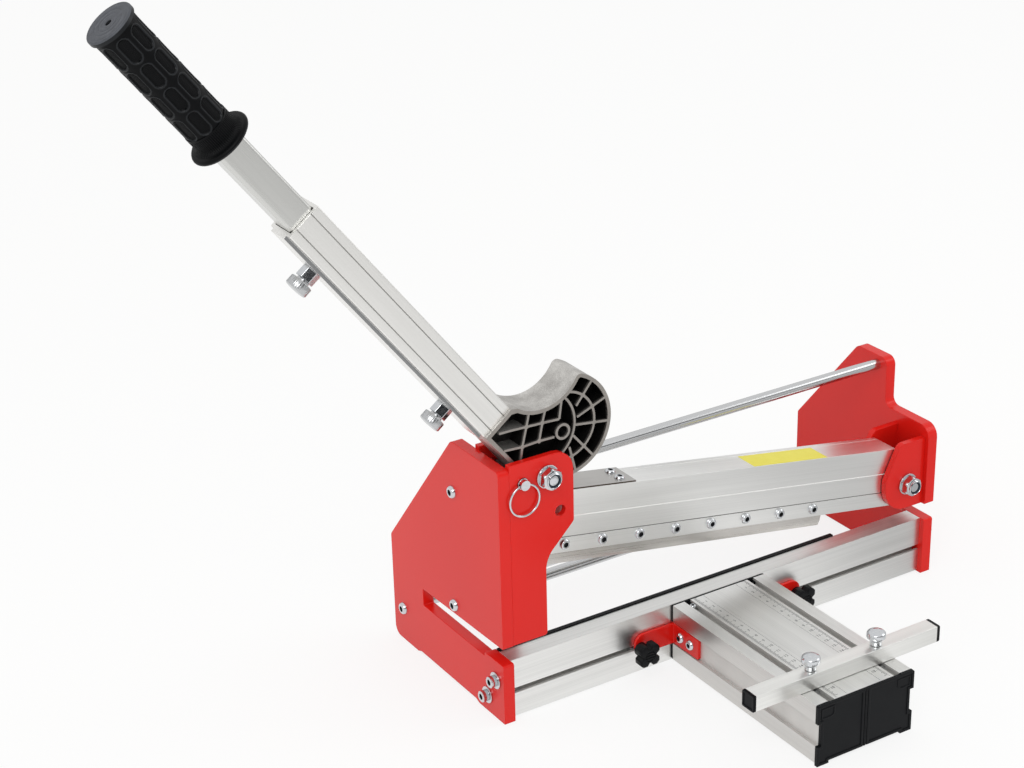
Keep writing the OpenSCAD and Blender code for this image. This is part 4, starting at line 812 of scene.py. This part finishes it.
body_start, body_end, body_step, count = 19.41, 117.8, 0.4, 216
flange_steps = {0, 0.3, 0.8, 1.4, 2.2, 3, 3.6, 4.1, 4.39}
band_steps = {4.41, 5, 5.4, 5.5, 6.2, 7, 7.8, 8.6, 16.8, 17, 17.6, 17.8, 18, 18.2, 18.8, 19.39}
body_steps = {round(body_start + body_step * k, 3) for k in range(260)
              if body_start + body_step * k < body_end}
disc_steps = {117.99, 118.01, 118.4, 118.6, 120, 121.1, 121.4, 121.7, 122, 122.25, 122.45, 122.55, 122.6}
end_rings = ((17.2, 0), (16.9, 0.15), (16.5, 0), (12.4, 0), (12.1, 0.15), (11.8, 0), (8.6, 0.05), (8.3, 0.2),
             (8.0, 0.05), (5.6, 0.1), (5.3, 0.2), (5.0, 0.1), (2.9, 0.15), (2.5, 0.5), (2.5, 7.0), (1.0, 7.0))
tube_r = 12.2
work = bmesh.new()
grip_start = pivot + (arm * grip_at - under * arm_middle) * MM
side = Vector((0, -1, 0))


def grip_ring(u, radius_of):
    """Ring of points round the grip."""
    row = []
    for i in range(count):
        turn = math.tau * i / count
        out = under * math.cos(turn) + side * math.sin(turn)
        row.append(work.verts.new(grip_start + (arm * u + out * radius_of(math.degrees(turn))) * MM))
    return row


rows = [grip_ring(0, lambda a: tube_r)]
for u in sorted(flange_steps | band_steps | body_steps | disc_steps):
    rows.append(grip_ring(u, lambda a: grip_radius(u, a)))
for r, sink in end_rings:
    rows.append(grip_ring(grip_l - sink, lambda a: r))
lofted(work, rows)
for row in (rows[0], rows[-1]):
    capped(work, row, sum((v.co for v in row), Vector()) / count)
grip = shaped(work, 50)
for face in grip.polygons:
    spot = (face.center - grip_start) / MM
    u = spot.dot(arm)
    turn = math.degrees(math.atan2(spot.dot(side), spot.dot(under))) % 360
    lip = 0.1 < pad_reach(u, turn) < 1.3 and 19.6 < u < body_end
    if u > grip_l - 1.2 and face.normal.dot(arm) > 0.3:
        face.material_index = 2
    else:
        face.material_index = 1 if lip or u < 2.4 or u > 118 else 0
fit("rubber_hand_grip", grip, [rubber, lip_wear_and_highlight, dust_and_sheen], "extension", "hand_grip", slot="black_rubber")


# Thumb screws: turned steel with a mushroom head. The two on the lever press on the inner tube and on the
# casting's spigot; their heads are satin.
satin_zinc = clouded("satin_turned_steel", 1.2, 4.0, "#b4b6b8", "#cdcecf", (0.2, 0.28), Metallic=1.0)


def thumb_screw(length, count=120):
    """Screw up from its tip, with a flat round head, its side finely knurled."""
    head = length - 8.4
    knurl = knurled(9.4, 0.25, count)
    return turned([(0, 2.2), (0.8, 3), (head - 1.6, 3), (head - 1.6, 5.4), (head, 5.6), (head, 8.9),
                   (head + 0.5, knurl), (head + 7.0, knurl), (head + 7.2, 9.2), (head + 7.7, 8.8),
                   (head + 8.0, 7.6), (head + 8.3, 4.0)], count)


for name in ("upper", "lower"):
    axis_at = Vector(joint_at[name + "_clamp_turn"]["pos_m"])
    reach = [(v.co - axis_at).dot(under) for v in parts[name + "_thumb_screw"].data.vertices]
    set_things(name + "_clamp_screw", thumb_screw((max(reach) - min(reach)) / MM), satin_zinc,
               [(axis_at + under * min(reach), under)], name + "_clamp", name + "_thumb_screw")


# Lock pin and its ring: a plated pin through both cheeks that stops the lever, pulled by a ring of
# round steel wire.
fit("lever_lock_pin", eased("lock_pin", 0.5, 3), [zinc], "stop_pin", "lock_pin", slot="plated_steel")
parts["pin_ring"].data.materials[0] = zinc


# Measuring table: a wide aluminium profile with two slots in its top. A scale in millimetres is engraved
# beside each slot, counted from the rail, and black caps close both ends.
table_finish = drawn_aluminium("satin_table_profile", "#f0f0ee", "#e0e0de", along_depth, 0.32)
table_side_painted_shade = drawn_aluminium("satin_table_side_painted_shade", "#d6d4d1", "#c6c4c1", along_depth, 0.34)
table_low, table_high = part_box("table_extrusion")
table_mid, table_half = (table_low.x + table_high.x) / 2, (table_high.x - table_low.x) / 2
# The table's outer sides take a darker copy of its aluminium: painted shade. Its slot walls and the faces
# below its top take the slot's painted-light finish.
table = eased("table_extrusion", 0.3, 2)
for face in table.polygons:
    if abs(face.normal.x) > 0.9 and abs(face.center.x - table_mid) > table_half - 0.3 * MM:
        face.material_index = 1
    elif abs(face.normal.y) < 0.5 and face.center.z < table_high.z - 0.6 * MM:
        face.material_index = 2
    else:
        face.material_index = 0
fit("table_profile", table, [table_finish, table_side_painted_shade, slot_painted_light], "table", "table_extrusion",
    slot="bar_aluminium")
fit("table_rear_cap_moulded", eased("table_rear_cap", 0.5, 3), [black_plastic], "table", "table_rear_cap",
    slot="black_plastic")


def raise_border(work, outline, way, border, rise):
    """Adds a raised border along the inside of an outline, up to its plane, which looks along way."""
    way = Vector(way)
    ring = work.faces.new([work.verts.new(p) for p in outline])
    ring.normal_update()
    if ring.normal.dot(way) < 0:
        ring.normal_flip()
    bmesh.ops.inset_individual(work, faces=[ring], thickness=border * MM, use_even_offset=True)
    strip = list(dict.fromkeys(f for v in ring.verts for f in v.link_faces if f is not ring))
    work.faces.remove(ring)
    raised = bmesh.ops.extrude_face_region(work, geom=strip, use_keep_orig=True)["geom"]
    points = [g for g in raised if isinstance(g, bmesh.types.BMVert)]
    bmesh.ops.translate(work, verts=points, vec=way * -rise * MM)
    made = strip + [g for g in raised if isinstance(g, bmesh.types.BMFace)]
    made += [f for v in points for f in v.link_faces]
    bmesh.ops.recalc_face_normals(work, faces=list(dict.fromkeys(made)))


cap_soft, cap_sink = 0.55, 0.6
border_corners = [(1.9, 57.1), (49.4, 57.1), (50.6, 55.9), (50.6, 40.0), (46.8, 40.0), (46.8, 18.4),
                  (50.0, 18.4), (50.0, 0.0), (38.0, 0.0), (38.0, 2.5), (1.9, 2.5)]
tab_corners = [(46.9, 53.4), (33, 53.4), (33, 47), (34.2, 44.6), (36.6, 43.4), (46.9, 43.4)]
rib_corners = [(-1.1, 2.5), (1.1, 2.5), (1.1, 57.1), (-1.1, 57.1)]
to_front = (0, -1, 0)
cap = eased("table_front_cap", 0.5, 3)
low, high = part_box("table_front_cap")
mid = (low.x + high.x) / 2
for v in cap.vertices:
    if v.co.y < low.y + cap_soft * MM:
        v.co.y += cap_sink * MM
work = bmesh.new()
work.from_mesh(cap)
for hand in (-1, 1):
    outline = [(mid + hand * x * MM, low.y, z * MM) for x, z in border_corners]
    raise_border(work, outline, to_front, 2.3, 0.7)
    outline = [(mid + hand * x * MM, low.y + 0.2 * MM, z * MM) for x, z in tab_corners]
    raise_border(work, outline, to_front, 1.2, 0.5)
raise_border(work, [(mid + x * MM, low.y, z * MM) for x, z in rib_corners], to_front, 1.0, 0.7)
work.to_mesh(cap)
work.free()
fit("table_front_cap_moulded", cap, [black_plastic], "table", "table_front_cap", slot="black_plastic")
slot_x, slot_w = 34.5, 6.5
stop_screw = [((mid - slot_x * MM, table_high.y - 8 * MM, table_high.z - 2.6 * MM), (0, 0, 1))]
set_things("slot_stop_screw", button_head(6.2, 2.2, 4, 5.6), zinc, stop_screw, "table")


def scale_tree():
    """Tree that rules a scale: a row of ticks to the front, every fifth longer and every tenth longest."""
    tree, given = start_tree("ruled_scale", "Scale", Base="Geometry", Ticks="Int", Pitch="Float",
                             Short="Float", Middle="Float", Long="Float", Width="Float", Finish="Material")
    back = add(tree, "ShaderNodeMath", {0: given.outputs["Pitch"], 1: -1.0}, operation="MULTIPLY")
    step = add(tree, "ShaderNodeCombineXYZ", {"Y": back.outputs[0]})
    row = add(tree, "GeometryNodeMeshLine", {"Count": given.outputs["Ticks"], "Offset": step.outputs[0]})
    spot = add(tree, "GeometryNodeInputIndex")
    length = given.outputs["Short"]
    for every, name in ((5.0, "Middle"), (10.0, "Long")):
        rest = add(tree, "ShaderNodeMath", {0: spot.outputs[0], 1: every}, operation="MODULO")
        hit = add(tree, "ShaderNodeMath", {0: rest.outputs[0], 1: 0.5}, operation="LESS_THAN")
        longer = add(tree, "ShaderNodeMix", {0: hit.outputs[0], 2: length, 3: given.outputs[name]})
        length = longer.outputs[0]
    size = add(tree, "ShaderNodeCombineXYZ",
               {"X": length, "Y": given.outputs["Width"], "Z": given.outputs["Width"]})
    block = add(tree, "GeometryNodeMeshCube")
    moved = add(tree, "GeometryNodeTransform", {0: block.outputs["Mesh"], "Translation": (0.5, 0, 0)})
    laid = add(tree, "GeometryNodeInstanceOnPoints",
               {"Points": row.outputs[0], "Instance": moved.outputs[0], "Scale": size.outputs[0]})
    add(tree, "NodeGroupOutput", {0: end_tree(tree, laid, given).outputs[0]})
    return tree


def box_in(work, at, size):
    """Adds a box of that size in millimetres round the point at."""
    corners = bmesh.ops.create_cube(work, size=1.0)["verts"]
    to_size = Matrix.Diagonal((*(s * MM for s in size), 1))
    bmesh.ops.transform(work, verts=corners, matrix=Matrix.Translation(at) @ to_size)


engraving = clouded("engraved_mark", 1.5, 2.0, "#3c3d3f", "#5f6164", Metallic=0.6, Roughness=0.5)
scale_from_slot, scale_start = 3.2, 0.6
ticks = {"Ticks": 191, "Pitch": 1.0 * MM, "Short": 1.6 * MM, "Middle": 2.6 * MM, "Long": 3.6 * MM,
         "Width": 0.3 * MM, "Finish": engraving}
edge_line, edge_line_mid, edge_lines_x = (0.2, 193, 0.12), 97.4, (0.4, -10.4)
number_h, number_x, number_t = 4.2, 6.4, 0.05
for side_name, hand in (("left", -1), ("right", 1)):
    ruled = grow(scale_tree(), bpy.data.meshes.new("nothing"), ticks)
    inner = table_mid + hand * (slot_x - slot_w / 2 - scale_from_slot) * MM
    turn = Matrix.Scale(-1, 4, (1, 0, 0)) if hand > 0 else Matrix.Identity(4)
    at = (inner, table_high.y - scale_start * MM, table_high.z - 0.11 * MM)
    ruled.transform(Matrix.Translation(at) @ turn)
    work = bmesh.new()
    work.from_mesh(ruled)
    bmesh.ops.recalc_face_normals(work, faces=work.faces)
    for x in edge_lines_x:
        at = (inner + hand * x * MM, table_high.y - edge_line_mid * MM, table_high.z - 0.045 * MM)
        box_in(work, at, edge_line)
    for tens in range(1, 19):
        words = bpy.data.curves.new("number", "FONT")
        words.body, words.size, words.align_x, words.align_y = str(tens), number_h * MM, "CENTER", "CENTER"
        words.extrude = number_t * MM
        number = plain_mesh(placed("number", words))
        at = (inner - hand * number_x * MM, table_high.y - (tens * 10 + scale_start) * MM,
              table_high.z - 0.03 * MM)
        number.transform(Matrix.Translation(at))
        work.from_mesh(number)
    work.to_mesh(ruled)
    work.free()
    fit("engraved_scale_" + side_name, ruled, [engraving], "table", slot="dark_steel")


# Table brackets: two bent angles of steel plate, enamelled red like the plates, screwed to the table's
# sides. Star knobs on T-bolts clamp them to the rail.
for node in ("left_bracket", "right_bracket"):
    fit("enamelled_" + node, eased(node, 0.4), [enamel], "table", node, slot="red_paint")
bracket_rise = 2.8
set_things("bracket_button_screws", button_head(9.5, bracket_rise, 5, 9), zinc,
           side_places("bracket_screws", bracket_rise, table_mid), "table", "bracket_screws")
parts["rail_t_bolts"].data.materials[0] = zinc
knob_plastic = moulded_black("black_knob_plastic", "#07080a", "#0e1013", 0.34, 0.7)


def star_knob(count=144):
    """Knob up from its collar: four flat-ended lobes with hollow sides, and three bars in its sunk face."""
    waist, tip, well_r, bar_w, bar_h, bar_z = 6.9, 9.85, 4.6, 1.1, 0.9, 15.5
    lobes = []
    for i in range(count):
        off = abs((i * 360 / count) % 90 - 45)
        near = max(0, min(1, (39 - off) / 20))
        lobes.append(min(waist + 5.2 * near * near * (3 - 2 * near), tip / math.cos(math.radians(45 - off))))
    shares = ((6.0, 0.86), (6.3, 0.95), (7.2, 1), (14.6, 1), (15.4, 0.98), (15.85, 0.93), (16, 0.84))
    star = [(height, [r * share for r in lobes]) for height, share in shares]
    whole = turned([(0, 5.9), (0.4, 6.3), (5.6, 6.3)] + star + [(16, 5.3), (15.3, 4.9)], count)
    work = bmesh.new()
    work.from_mesh(whole)
    for y in (-2.4, 0, 2.4):
        bar_l = 2 * math.sqrt(well_r ** 2 - y * y)
        box_in(work, (0, y * MM, bar_z * MM), (bar_l, bar_w, bar_h))
    work.to_mesh(whole)
    work.free()
    return whole


for name in ("left", "right"):
    set_things(name + "_star_knob_moulded", star_knob(), knob_plastic, [front_place(name + "_star_knob")],
               name + "_knob", name + "_star_knob", slot="black_plastic")


# Fence: a square aluminium bar across the table with a black cap pushed on each end. A thumb screw at each
# slot draws a nut up under the table's top.
fence_finish = drawn_aluminium("satin_fence_bar", "#f5f5f2", "#e5e5e2", along_rail, 0.34)
fit("fence_bar_profile", eased("fence_bar", 0.25, 2), [fence_finish], "fence", "fence_bar",
    slot="bar_aluminium")
end_soft, end_sink, corner_cut = 0.45, 0.5, 0.9
caps = eased("fence_caps", 0.5, 3)
low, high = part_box("fence_caps")
half_w = (high.z - low.z) / 2
work = bmesh.new()
work.from_mesh(caps)
for x, hand in ((low.x, -1), (high.x, 1)):
    for v in work.verts:
        if abs(v.co.x - x) < end_soft * MM:
            v.co.x -= hand * end_sink * MM
    centre = Vector((x, (low.y + high.y) / 2, (low.z + high.z) / 2))
    outline = []
    for a, b, c in ((1, 1, 1), (-1, 1, 1), (-1, 1, 0), (-1, -1, 0), (-1, -1, 1), (1, -1, 1), (1, -1, 0),
                    (1, 1, 0)):
        y = a * (half_w - c * corner_cut * MM)
        z = b * (half_w - (1 - c) * corner_cut * MM)
        outline.append(centre + Vector((0, y, z)))
    raise_border(work, outline, (hand, 0, 0), 1.7, 0.6)
work.to_mesh(caps)
work.free()
fit("fence_end_caps", caps, [black_plastic], "fence", "fence_caps", slot="black_plastic")
parts["fence_t_nuts"].data.materials[0] = zinc


def mushroom_screw(length, count=96):
    """Screw up from its tip, with a waisted neck and a domed round head."""
    neck = length - 13.2
    head = [(0.5, 5.0), (3.6, 4.9), (4.6, 5.3), (6.4, 7.3), (6.9, 7.8), (7.5, 8.0), (10.4, 8.0), (11.2, 7.8),
            (11.9, 7.2), (12.6, 6.0), (13.0, 4.2), (13.18, 2.0)]
    stem = [(0, 1.9), (0.6, 2.5), (neck, 2.5), (neck, 4.6)]
    return turned(stem + [(neck + h, r) for h, r in head], count)


for name in ("left", "right"):
    low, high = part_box(name + "_fence_screw")
    seat = Vector(((low.x + high.x) / 2, (low.y + high.y) / 2, low.z))
    set_things(name + "_fence_thumb_screw", mushroom_screw((high.z - low.z) / MM), zinc,
               [(seat, (0, 0, 1))], name + "_fence_clamp", name + "_fence_screw")
